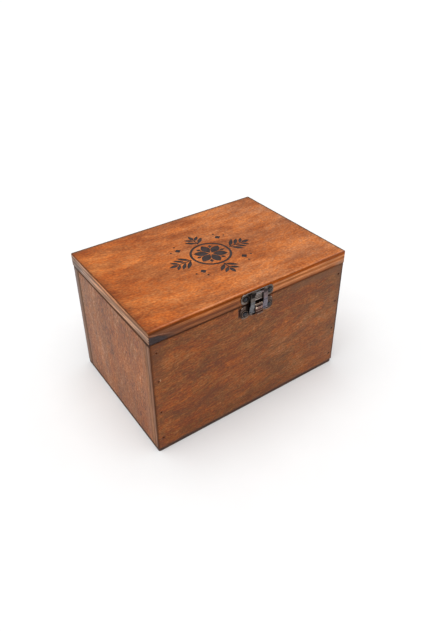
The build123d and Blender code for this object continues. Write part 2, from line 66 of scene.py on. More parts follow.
class Graph:
    def __init__(self, name):
        self.mat = bpy.data.materials.new(name)
        self.mat.use_nodes = True
        self.nt = self.mat.node_tree
        self.nt.nodes.clear()
        self.out = self.new("ShaderNodeOutputMaterial")
        tc = self.new("ShaderNodeTexCoord")
        n = self.new("ShaderNodeVectorMath", operation="SCALE")
        self.nt.links.new(tc.outputs["Object"], n.inputs[0])
        n.inputs["Scale"].default_value = 1 / MM
        self.p = n.outputs[0]
        s = self.new("ShaderNodeSeparateXYZ")
        self.nt.links.new(self.p, s.inputs[0])
        self.x, self.y, self.z = s.outputs
        s = self.new("ShaderNodeSeparateXYZ")
        self.nt.links.new(tc.outputs["Normal"], s.inputs[0])
        self.nx, self.ny, self.nz = s.outputs

    def new(self, kind, **props):
        n = self.nt.nodes.new(kind)
        for k, v in props.items():
            setattr(n, k, v)
        return n

    def put(self, socket, value):
        if isinstance(value, bpy.types.NodeSocket):
            self.nt.links.new(value, socket)
        elif value is not None:
            socket.default_value = value

    def math(self, op, a, b=None, c=None, clamp=False):
        n = self.new("ShaderNodeMath", operation=op, use_clamp=clamp)
        for s, v in zip(n.inputs, (a, b, c)):
            self.put(s, v)
        return n.outputs[0]

    def add(self, a, b): return self.math("ADD", a, b)
    def sub(self, a, b): return self.math("SUBTRACT", a, b)
    def mul(self, a, b, clamp=False): return self.math("MULTIPLY", a, b, clamp=clamp)
    def mad(self, a, b, c): return self.math("MULTIPLY_ADD", a, b, c)
    def least(self, a, b): return self.math("MINIMUM", a, b)
    def most(self, a, b): return self.math("MAXIMUM", a, b)
    def size(self, a): return self.math("ABSOLUTE", a)
    def sin(self, a): return self.math("SINE", a)
    def inv(self, a): return self.math("SUBTRACT", 1.0, a)

    def vec(self, a, b, c):
        n = self.new("ShaderNodeCombineXYZ")
        for s, v in zip(n.inputs, (a, b, c)):
            self.put(s, v)
        return n.outputs[0]

    def ease(self, v, lo, hi, a=0.0, b=1.0, kind="SMOOTHSTEP"):
        n = self.new("ShaderNodeMapRange", interpolation_type=kind, clamp=True)
        for s, x in zip(n.inputs, (v, lo, hi, a, b)):
            self.put(s, x)
        return n.outputs[0]

    def noise(self, vec, detail=3.0, rough=0.5, scale=1.0, distort=0.0, colour=False):
        n = self.new("ShaderNodeTexNoise")
        self.put(n.inputs["Vector"], vec)
        n.inputs["Scale"].default_value = scale
        n.inputs["Detail"].default_value = detail
        n.inputs["Roughness"].default_value = rough
        n.inputs["Distortion"].default_value = distort
        return n.outputs[1 if colour else 0]

    def cells(self, vec, feature="F1", out=0, randomness=1.0):
        n = self.new("ShaderNodeTexVoronoi", feature=feature)
        self.put(n.inputs["Vector"], vec)
        n.inputs["Scale"].default_value = 1.0
        n.inputs["Randomness"].default_value = randomness
        return n.outputs[out]

    def mix(self, fac, a, b, blend="MIX"):
        n = self.new("ShaderNodeMix", data_type="RGBA", blend_type=blend, clamp_factor=True)
        self.put(n.inputs[0], fac)
        self.put(n.inputs[6], a)
        self.put(n.inputs[7], b)
        return n.outputs[2]

    def lerp(self, fac, a, b):
        n = self.new("ShaderNodeMix", data_type="FLOAT", clamp_factor=True)
        self.put(n.inputs[0], fac)
        self.put(n.inputs[2], a)
        self.put(n.inputs[3], b)
        return n.outputs[0]

    def tint(self, colour, amount):
        """A colour times a grey."""
        n = self.new("ShaderNodeVectorMath", operation="SCALE")
        self.put(n.inputs[0], colour)
        self.put(n.inputs["Scale"], amount)
        return n.outputs[0]

    def ramp(self, v, stops, interp="LINEAR"):
        n = self.new("ShaderNodeValToRGB")
        n.color_ramp.interpolation = interp
        el = n.color_ramp.elements
        while len(el) > 1:
            el.remove(el[-1])
        el[0].position, el[0].color = stops[0]
        for pos, col in stops[1:]:
            e = el.new(pos)
            e.color = col
        self.put(n.inputs[0], v)
        return n.outputs[0]

    def bump(self, height, distance_mm, strength=1.0, normal=None):
        n = self.new("ShaderNodeBump")
        n.inputs["Strength"].default_value = strength
        n.inputs["Distance"].default_value = distance_mm * MM
        self.put(n.inputs["Height"], height)
        if normal is not None:
            self.put(n.inputs["Normal"], normal)
        return n.outputs[0]

    def shade(self, colour, rough, normal=None, **consts):
        b = self.shader = self.new("ShaderNodeBsdfPrincipled")
        self.put(b.inputs["Base Color"], colour)
        self.put(b.inputs["Roughness"], rough)
        if normal is not None:
            self.put(b.inputs["Normal"], normal)
        for k, v in consts.items():
            self.put(b.inputs[k.replace("_", " ")], v)
        self.nt.links.new(b.outputs[0], self.out.inputs["Surface"])
        return self.mat


# ---------------------------------------------------------------------------
# wood
# ---------------------------------------------------------------------------
def veneer(G, g, c, pal, seed):
    """A rotary-cut face veneer under a wiped stain. g runs along the grain and c across it, in millimetres. Returns colour, height, roughness and the parts of the pattern."""
    def n(along, over, k, detail=2.0, rough=0.5):
        return G.sub(G.noise(G.vec(G.mul(g, 1 / along), G.mul(c1, 1 / over), seed + k), detail, rough), 0.5)

    c1 = c
    c1 = G.mad(g, pal.get("slant", 0.03), G.mad(n(90, 62, 0.3, 1), 16.0, c))
    if pal.get("curve"):
        c1 = G.mad(G.mul(g, g), pal["curve"], c1)
    c1 = G.mad(n(17, 8, 3.1), pal.get("warp", 2.2), c1)
    big = n(pal.get("big", 62), pal.get("big_c", 27), 10.7, 2)
    cloud = n(pal.get("cloud", 24), pal.get("cloud_c", 8.5), 20.3, 3, 0.55)
    dash = n(pal.get("dash", 6.0), 1.15, 30.9, 2, 0.55)
    speck = n(1.9, 1.25, 40.1, 1, 0.5)
    hair = n(3.4, 0.3, 45.7, 2, 0.6)
    tone = G.mad(big, pal.get("a_big", 0.55), 1.0)
    tone = G.mad(cloud, pal.get("a_cloud", 0.55), tone)
    tone = G.mad(dash, pal.get("a_dash", 0.50), tone)
    tone = G.mad(speck, pal.get("a_speck", 0.55), tone)
    tone = G.mad(hair, pal.get("a_hair", 0.35), tone)
    if pal.get("figure"):
        contour = G.noise(G.vec(G.mul(g, 1 / 70), G.mul(c1, 1 / 21), seed + 60.5), 1, 0.4)
        rings = G.sin(G.mul(contour, 62.0))
        rings = G.mul(rings, G.ease(n(34, 14, 63.9, 1), -0.10, 0.16, 0.4, 1.6))
        tone = G.mad(rings, pal["figure"], tone)
    mid = pal["mid"]
    lift = pal.get("skew", 0.0)
    stops = [((q - 0.2) / 1.6, tuple(m * (q + lift * (q - 1) ** 2) ** k for m, k in zip(mid, pal["hue"])) + (1,)) for q in (0.2, 0.5, 0.8, 1.0, 1.25, 1.5, 1.8)]
    col = G.ramp(G.mul(G.sub(tone, 0.2), 1 / 1.6), stops)
    # short dark dashes where the stain soaked into torn grain, gathered in patches
    patch = G.ease(G.mad(n(4.5, 2.4, 75.2), 0.5, n(28, 10.5, 70.4, 3, 0.6)), pal.get("patch_lo", 0.02), pal.get("patch_hi", 0.20))
    torn = G.ease(G.mad(hair, 0.35, dash), -0.06, 0.10)
    soak = G.mul(patch, G.mad(torn, 0.65, 0.35))
    col = G.mix(G.mul(soak, pal.get("patch", 0.5)), col, tuple(pal["grey"]) + (1,))
    pores = G.ease(G.noise(G.vec(G.mul(g, 1 / 2.2), G.mul(c1, 1 / 0.24), seed + 50.6), 1, 0.5), 0.64, 0.76)
    col = G.mix(G.mul(pores, pal.get("pores", 0.4)), col, tuple(pal["pore"]) + (1,))
    if pal.get("glints"):
        # pale fibres lifted clear of the stain
        lift = G.ease(G.noise(G.vec(G.mul(g, 1 / pal.get("lift", 9.0)), G.mul(c1, 1 / 0.9), seed + 90.2), 1, 0.5), 0.62, 0.78)
        col = G.mix(G.mul(lift, pal["glints"]), col, tuple(min(1.0, m * k) for m, k in zip(mid, (2.0, 2.2, 2.4))) + (1,))
        wide = G.ease(G.noise(G.vec(G.mul(g, 1 / 7.5), G.mul(c1, 1 / 2.2), seed + 93.7), 2, 0.55), 0.60, 0.78)
        col = G.mix(G.mul(wide, pal["glints"] * 0.5), col, tuple(min(1.0, m * k) for m, k in zip(mid, (1.8, 2.0, 2.2))) + (1,))
    if pal.get("hues"):
        # here redder, there more olive, without a change of brightness
        turn = G.ease(G.mad(n(4.2, 1.7, 97.1, 2), 0.75, G.mul(n(30, 11, 93.4, 2), 0.6)), -0.17, 0.17)
        warm, cool = pal["hues"]
        col = G.mix(1.0, col, G.mix(turn, tuple(warm) + (1,), tuple(cool) + (1,)), "MULTIPLY")
    height = G.sub(G.mad(dash, 0.7, G.mul(hair, 0.5)), G.mul(pores, 0.5))
    rough = G.mad(dash, 0.25, G.mad(cloud, 0.30, pal.get("rough", 0.45)))
    return col, height, rough, dash, cloud, big


def layers(G, t, e, stops, end_stops, end, seed, thickness, wander=0.16):
    """The cut edge of plywood. t runs through the thickness and e along the edge. stops are (millimetres, colour), end_stops the same where the face grain ends. Returns colour, height and blotches."""
    slow = G.sub(G.noise(G.vec(G.mul(e, 1 / 28.0), seed, 0.0), 2), 0.5)
    quick = G.sub(G.noise(G.vec(G.mul(e, 1 / 2.6), G.mul(t, 0.5), seed + 5), 2), 0.5)
    tt = G.mad(slow, wander * 4, G.mad(quick, wander, t))
    pos = G.mul(tt, 1 / thickness)

    def lay(ss):
        return G.ramp(pos, [(max(0.0, min(1.0, s / thickness)), tuple(q) + (1,)) for s, q in ss])

    col = G.mix(end, lay(stops), lay(end_stops))
    streak = G.noise(G.vec(G.mul(e, 1 / 7.0), G.mul(tt, 1 / 0.42), seed + 9), 3, 0.6)
    dots = G.noise(G.vec(G.mul(e, 1 / 0.7), G.mul(t, 1 / 0.5), seed + 14), 2, 0.6)
    blotch = G.noise(G.vec(G.mul(e, 1 / 13.0), G.mul(t, 1 / 5.0), seed + 19), 3, 0.6)
    amount = G.mad(G.sub(streak, 0.5), 1.25, G.mad(G.sub(dots, 0.5), 0.8, G.mad(G.sub(blotch, 0.5), 0.75, 1.0)))
    return G.tint(col, G.most(amount, 0.2)), G.mad(streak, 0.6, G.mul(dots, 0.5)), blotch


def rim(G, u, v, u0, u1, v0, v1):
    """Distance to the nearest of four sides, in millimetres, for a point at u, v."""
    du = G.sub((u1 - u0) / 2, G.size(G.sub(u, (u0 + u1) / 2)))
    dv = G.sub((v1 - v0) / 2, G.size(G.sub(v, (v0 + v1) / 2)))
    return du, dv


LID = dict(mid=(0.328, 0.0810, 0.0128), hue=(1.0, 1.36, 1.75), grey=(0.150, 0.046, 0.016), skew=0.32,
           pore=(0.11, 0.03, 0.010), patch=0.32, pores=0.3, rough=0.42, a_big=1.45, a_cloud=1.20, a_dash=0.80, a_speck=1.20, a_hair=0.6,
           figure=0.05, glints=0.45, slant=0.065, curve=-0.0007, warp=3.6, hues=((1.06, 0.93, 0.64), (0.94, 1.08, 1.40)), drift=(1.053, 1.30, 2.30))
# CASE is the lid's stain made darker, partly painted shade on the front and back boards
CASE = dict(mid=(0.222, 0.0548, 0.0048), hue=(1.0, 1.28, 2.5), grey=(0.080, 0.032, 0.015), skew=0.50,
            pore=(0.07, 0.026, 0.010), patch=0.18, pores=0.25, rough=0.46, a_big=0.90, a_cloud=1.65, a_dash=1.65, a_speck=1.35, a_hair=1.0, dash=7.0, lift=12.0,
            figure=0.03, glints=0.55, slant=-0.10, warp=3.6, drift=(1.05, 1.22, 1.80), hues=((1.08, 0.89, 0.50), (0.92, 1.12, 1.60)))
# SIDE is the same stain made lighter and greyer, partly a painted sheen on the side boards
SIDE = dict(mid=(0.309, 0.099, 0.0255), hue=(1.0, 1.65, 3.0), grey=(0.155, 0.052, 0.020),
            pore=(0.10, 0.034, 0.014), patch=0.46, rough=0.5, a_big=0.85, a_cloud=1.25, a_dash=1.80, a_speck=1.60, a_hair=1.6, dash=8.0, lift=12.0,
            figure=0.05, glints=0.30, slant=0.04, warp=3.0, hues=((1.08, 0.93, 0.66), (0.92, 1.07, 1.30)))
RAW = dict(mid=(0.300, 0.104, 0.034), hue=(1.0, 1.15, 1.25), grey=(0.140, 0.056, 0.028),
           pore=(0.08, 0.03, 0.015), patch=0.4, rough=0.62, a_big=0.9, a_cloud=1.0, a_dash=1.2, a_speck=1.2, a_hair=0.8)

CHAR = (0.058, 0.042, 0.038, 1)


def board_material(name, grain, across, thick, t_of, pal, inside_pal, seed, side_of, stops, end_stops, thickness, extras=None):
    """Plywood: face veneers on both faces, and its layers round the edges."""
    G = Graph(name)
    axis = {"x": (G.x, G.nx), "y": (G.y, G.ny), "z": (G.z, G.nz)}
    g, c = axis[grain][0], axis[across][0]
    n = axis[thick][1]
    t = t_of(G)
    col_o, h_o, r_o, fibre, cloud, big = veneer(G, g, c, pal, seed)
    if pal.get("drift"):
        col_o = G.mix(G.ease(g, -80.0, 80.0, kind="LINEAR"), col_o, G.mix(1.0, col_o, tuple(pal["drift"]) + (1,), "MULTIPLY"))
    col_i, h_i, r_i, _, _, _ = veneer(G, g, c, inside_pal, seed + 131)
    facing = G.mul(n, side_of)                       # 1 on the outer face, -1 on the inner
    inner = G.ease(facing, -0.5, 0.0, 1.0, 0.0)
    col = G.mix(inner, col_o, col_i)
    height = G.lerp(inner, h_o, h_i)
    rough = G.lerp(inner, r_o, r_i)
    edge = G.ease(G.size(n), 0.45, 0.80, 1.0, 0.0)
    # along the edge: the coordinate that isn't the edge's own normal
    na, nb = axis[grain][1], axis[across][1]
    end = G.ease(G.sub(G.size(na), G.size(nb)), -0.05, 0.05)
    e = G.lerp(end, g, c)
    col_e, h_e, blotch = layers(G, t, e, stops, end_stops, end, seed + 211, thickness)
    state = dict(G=G, g=g, c=c, t=t, n=n, edge=edge, col=col, col_e=col_e, height=height, h_e=h_e, rough=rough,
                 fibre=fibre, blotch=blotch, inner=inner, facing=facing, e=e, cloud=cloud, end=end)
    if extras:
        extras(state)
    col = G.mix(state["edge"], state["col"], state["col_e"])
    height = G.lerp(state["edge"], state["height"], state["h_e"])
    rough = G.lerp(state["edge"], state["rough"], 0.6)
    rough = state.get("final_rough", lambda r: r)(rough)
    col = state.get("final_col", lambda q: q)(col)
    # where the stain has soaked in, and where painted shade lies below the lid and in its seam, the wood has no gloss
    gloss = G.mad(state["soaked"], -0.24, 0.25) if "soaked" in state else None
    made = G.shade(col, rough, G.bump(height, 0.05, 0.9), Specular_IOR_Level=0.25)
    if state.get("gloss"):
        G.shader.inputs["Specular IOR Level"].default_value = state["gloss"]
    elif "soaked" in state:
        G.put(G.shader.inputs["Specular IOR Level"], gloss)
    return made


# ---------------------------------------------------------------------------
# boards
# ---------------------------------------------------------------------------
def rounding(r, w):
    """How far a quarter-round of radius r draws a side in, w below the face."""
    return r - math.sqrt(max(0.0, r * r - (r - w) ** 2)) if w < r else 0.0


def ring(u0, u1, v0, v1, r, nu, nv, nc):
    """Points round a rectangle, with the way out at each: anticlockwise, from the lower side's left end. r are the radii of its lower right, upper right, upper left and lower left corners."""
    pts, outs = [], []
    ra, rb, rc, rd = r
    spans = [((u0 + rd, v0), (u1 - ra, v0), nu, (0, -1), (u1 - ra, v0 + ra), -90, ra),
             ((u1, v0 + ra), (u1, v1 - rb), nv, (1, 0), (u1 - rb, v1 - rb), 0, rb),
             ((u1 - rb, v1), (u0 + rc, v1), nu, (0, 1), (u0 + rc, v1 - rc), 90, rc),
             ((u0, v1 - rc), (u0, v0 + rd), nv, (-1, 0), (u0 + rd, v0 + rd), 180, rd)]
    for a, b, n, out, centre, start, r in spans:
        for i in range(n):
            f = i / n
            pts.append((a[0] + (b[0] - a[0]) * f, a[1] + (b[1] - a[1]) * f))
            outs.append(out)
        for j in range(nc):
            q = math.radians(start + 90 * j / nc)
            d = (math.cos(q), math.sin(q))
            pts.append((centre[0] + r * d[0], centre[1] + r * d[1]))
            outs.append(d)
    return pts, outs


def inside(points, loop):
    """Which points lie in a closed loop."""
    p, q = np.asarray(points), np.asarray(loop)
    r = np.roll(q, -1, 0)
    hit = np.zeros(len(p), bool)
    for (x0, y0), (x1, y1) in zip(q, r):
        if y0 == y1:
            continue
        cross = (p[:, 1] > y0) != (p[:, 1] > y1)
        hit ^= cross & (p[:, 0] < (x1 - x0) * (p[:, 1] - y0) / (y1 - y0) + x0)
    return hit


def cap(bm, verts, outline, w, down, place, regions, step):
    """Fills a face of a board between its outline's vertices. regions are (loops, depth): sunk parts with upright walls. down is 1 if deeper means a larger w."""
    pts = [tuple(p) for p in outline]
    edges = [(i, (i + 1) % len(pts)) for i in range(len(pts))]
    loops = [l for ls, _ in regions for l in ls]
    for l in loops:
        k = len(pts)
        pts += [tuple(p) for p in l]
        edges += [(k + i, k + (i + 1) % len(l)) for i in range(len(l))]
    fixed = np.array(pts)
    lo, hi = fixed.min(0), fixed.max(0)
    nu, nv = max(2, round((hi[0] - lo[0]) / step)), max(2, round((hi[1] - lo[1]) / step))
    us, vs = np.linspace(lo[0], hi[0], nu + 1)[1:-1], np.linspace(lo[1], hi[1], nv + 1)[1:-1]
    grid = np.array([(u, v) for u in us for v in vs])
    keep = np.ones(len(grid), bool)
    for k in range(0, len(grid), 4000):
        part = grid[k:k + 4000]
        near = np.full(len(part), 1e9)
        for m in range(0, len(fixed), 400):
            d = np.linalg.norm(part[:, None] - fixed[None, m:m + 400], axis=2).min(1)
            near = np.minimum(near, d)
        keep[k:k + 4000] = near > 0.45 * step
    keep &= inside(grid, outline)
    pts += [tuple(p) for p in grid[keep]]
    vs2, _, faces, orig, _, _ = delaunay_2d_cdt([Vector(p) for p in pts], edges, [], 0, 1e-6)
    flat = np.array([tuple(v) for v in vs2])
    mid = np.array([flat[list(f)].mean(0) for f in faces])
    level = np.zeros(len(faces), int)
    depth = [0.0] + sorted({d for _, d in regions})
    for ls, d in regions:
        hit = np.zeros(len(mid), bool)
        for l in ls:
            hit ^= inside(mid, l)
        level[hit] = depth.index(d)
    known = {}

    def get(i, lev):
        if (i, lev) not in known:
            o = [j for j in orig[i] if j < len(outline)]
            if lev == 0 and o:
                known[i, lev] = verts[o[0]]
            else:
                known[i, lev] = bm.verts.new(place(flat[i][0], flat[i][1], w + down * depth[lev]))
        return known[i, lev]

    sides = {}
    for f, lev in zip(faces, level):
        bm.faces.new([get(i, lev) for i in f])
        for a, b in zip(f, list(f[1:]) + [f[0]]):
            sides.setdefault((min(a, b), max(a, b)), []).append(lev)
    for (a, b), lv in sides.items():
        if len(lv) == 2 and lv[0] != lv[1]:
            bm.faces.new([get(a, lv[0]), get(b, lv[0]), get(b, lv[1]), get(a, lv[1])])


def board(name, extents, thick, place, outer, inner, corner=None, plies=(), seed=0, regions=(), under=(),
          step=2.2, shrink=(0, 0, 0, 0), body=None, stands_for=None, material=None):
    """A board with rounded arrises. extents are u0, u1, v0, v1 at its widest, outer and inner the radii on the left, right, lower and upper sides of the two faces, and place maps u, v, depth to the frame."""
    u0, u1, v0, v1 = extents
    ws = {0.0, thick}
    for radii, flip in ((outer, False), (inner, True)):
        for r in set(radii):
            if r > 0:
                for k in range(0, 6):
                    w = r * (1 - math.cos(math.radians(90 * k / 5)))
                    ws.add(round(thick - w if flip else w, 4))
    top_r, low_r = max(outer), max(inner)
    n = max(2, round((thick - top_r - low_r) / 0.42))
    for k in range(n + 1):
        ws.add(round(top_r + (thick - top_r - low_r) * k / n, 4))
    ws = sorted(ws)
    ws = [w for i, w in enumerate(ws) if i == 0 or w - ws[i - 1] > 0.02 or w == thick]
    if ws[-1] - ws[-2] < 0.02:
        ws.pop(-2)
    nu, nv = max(2, round((u1 - u0) / step)), max(2, round((v1 - v0) / step))
    nc = 7 if corner else 0
    bm = bmesh.new()
    rings, flats = [], []
    for w in ws:
        ins = [rounding(a, w) + rounding(b, thick - w) for a, b in zip(outer, inner)]
        r = [max(0.25, q - max(ins)) for q in corner] if corner else (0.0,) * 4
        pts, outs = ring(u0 + ins[0], u1 - ins[1], v0 + ins[2], v1 - ins[3], r, nu, nv, nc)
        row, flat = [], []
        for (u, v), (a, b) in zip(pts, outs):
            # the layers stand a little proud of each other, and the saw left them uneven
            sink = 0.0
            for q in plies:
                sink += 0.05 * math.exp(-((w - q) / 0.22) ** 2)
            if top_r * 0.8 < w < thick - low_r * 0.8:
                sink += 0.045 * (0.5 + noise.noise(Vector((u / 5.0 + seed, v / 5.0, w / 0.9))))
            u, v = u - a * sink, v - b * sink
            flat.append((u, v))
            row.append(bm.verts.new(place(u, v, w)))
        rings.append(row)
        flats.append(flat)
    m = len(rings[0])
    for a, b in zip(rings, rings[1:]):
        for i in range(m):
            bm.faces.new([a[i], a[(i + 1) % m], b[(i + 1) % m], b[i]])
    cap(bm, rings[0], flats[0], ws[0], 1, place, list(regions), step)
    cap(bm, rings[-1], flats[-1], ws[-1], -1, place, list(under), step * 2)
    bmesh.ops.recalc_face_normals(bm, faces=bm.faces)
    # a board is never quite flat
    for v in bm.verts:
        p = v.co / MM
        q = Vector((p.x / 90 + seed, p.y / 90, p.z / 90))
        v.co += Vector([noise.noise(q + Vector((k * 3.7, k * 5.3, k * 2.9))) for k in range(3)]) * 0.07 * MM
    me = bpy.data.meshes.new(name)
    bm.to_mesh(me)
    bm.free()
    for p in me.polygons:
        p.use_smooth = True
    me.set_sharp_from_angle(angle=math.radians(38))
    ob = bpy.data.objects.new(name, me)
    bpy.context.scene.collection.objects.link(ob)
    me.materials.append(material)
    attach(ob, body)
    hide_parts(stands_for)
    return ob


def circle(x, y, r, n=20):
    return [(x + r * math.cos(2 * math.pi * k / n), y + r * math.sin(2 * math.pi * k / n)) for k in range(n)]


# ---------------------------------------------------------------------------
# the ornament burnt into the lid: a six-petalled rosette in a ring, with leaf
# sprigs to the four sides
# ---------------------------------------------------------------------------
def leaf(x, y, angle, length, width, n=9, belly=0.42):
    """A pointed leaf from x, y along angle."""
    c, s = math.cos(angle), math.sin(angle)
    up = []
    for k in range(1, n):
        f = k / n
        e = math.sin(math.pi * f ** (math.log(0.5) / math.log(belly))) ** 0.9
        up.append((f * length, width / 2 * e))
    loop = [(0, 0)] + [(a, -b) for a, b in up] + [(length, 0)] + [(a, b) for a, b in reversed(up)]
    return [(x + a * c - b * s, y + a * s + b * c) for a, b in loop]


def ornament(cx, cy):
    shapes = []
    for k in range(6):
        a = math.radians(60 * k + 30)
        shapes.append([leaf(cx + 1.4 * math.cos(a), cy + 1.4 * math.sin(a), a, 12.4, 7.2, 14, 0.52)])
        b = math.radians(60 * k)
        x, y = cx + 11.0 * math.cos(b), cy + 11.0 * math.sin(b)
        r1, r2 = 2.6, 1.5
        shapes.append([[(x + r1 * math.cos(b), y + r1 * math.sin(b)), (x - r2 * math.sin(b), y + r2 * math.cos(b)),
                        (x - r1 * math.cos(b), y - r1 * math.sin(b)), (x + r2 * math.sin(b), y - r2 * math.cos(b))]])
    shapes.append([circle(cx, cy, 17.2, 84), circle(cx, cy, 15.2, 84)])
    for turn, stem, pairs in ((0, 20.2, 3), (180, 20.2, 3), (90, 15.5, 2), (270, 15.5, 2)):
        t = math.radians(turn)
        ct, st = math.cos(t), math.sin(t)

        def at(a, b):
            return cx + a * ct - b * st, cy + a * st + b * ct

        base = 18.2
        end = base + stem - 7.0
        shapes.append([[at(base, -0.7), at(end, -0.4), at(end, 0.4), at(base, 0.7)]])
        shapes.append([leaf(*at(end - 0.4, 0), t, 7.6, 3.6, 10)])
        for i in range(pairs):
            a = base + 1.0 + (end - base - 3.2) * i / max(1, pairs - 1)
            size = (11.8 - 1.9 * i) if pairs > 2 else (10.6 - 2.4 * i)
            for s in (-1, 1):
                shapes.append([leaf(*at(a, s * 0.4), t + s * math.radians(48), size, 3.3 - 0.25 * i, 10, 0.5)])
    for sx in (-1, 1):
        for sy in (-1, 1):
            x, y = cx + sx * 19.6, cy + sy * 18.6
            shapes.append([[(x + 2.8, y), (x, y + 2.8), (x - 2.8, y), (x, y - 2.8)]])
            shapes.append([circle(x + sx * 6.4, y + sy * 0.2, 0.95, 14)])
            shapes.append([circle(x - sx * 0.2, y + sy * 6.4, 0.95, 14)])
    return shapes


ORN_X, ORN_Y = 1.1, -3.5
BURN = 0.22
lid_regions = [(s, BURN) for s in ornament(ORN_X, ORN_Y)]

# ---------------------------------------------------------------------------
# board materials
# ---------------------------------------------------------------------------
YF, YB = -D / 2, D / 2
# a dark stain colour, used also for painted shade below the lid and in the lid's seam
STAIN_AND_SHADE = (0.062, 0.026, 0.014, 1)


def ragged(G, scale=3.0, k=0.0):
    return G.sub(G.noise(G.vec(G.mul(G.x, 1 / scale), G.mul(G.y, 1 / scale), G.mad(G.z, 1 / scale, k)), 3, 0.6), 0.5)


def dark_line(S, d, width, strength, colour=STAIN_AND_SHADE, rough=0.9, start=0.1, key="col"):
    """Darkens along a line, for stain and, below the lid, for painted shade: d is the distance from it in millimetres.
    """
    G = S["G"]
    m = G.ease(G.mad(ragged(G), rough, d), start, width, strength, 0.0)
    S[key] = G.mix(m, S[key], colour)
    S["soaked"] = G.most(S["soaked"], m) if "soaked" in S else m


def box_rim(G, u, v, box):
    du, dv = rim(G, u, v, *box)
    return G.least(du, dv)


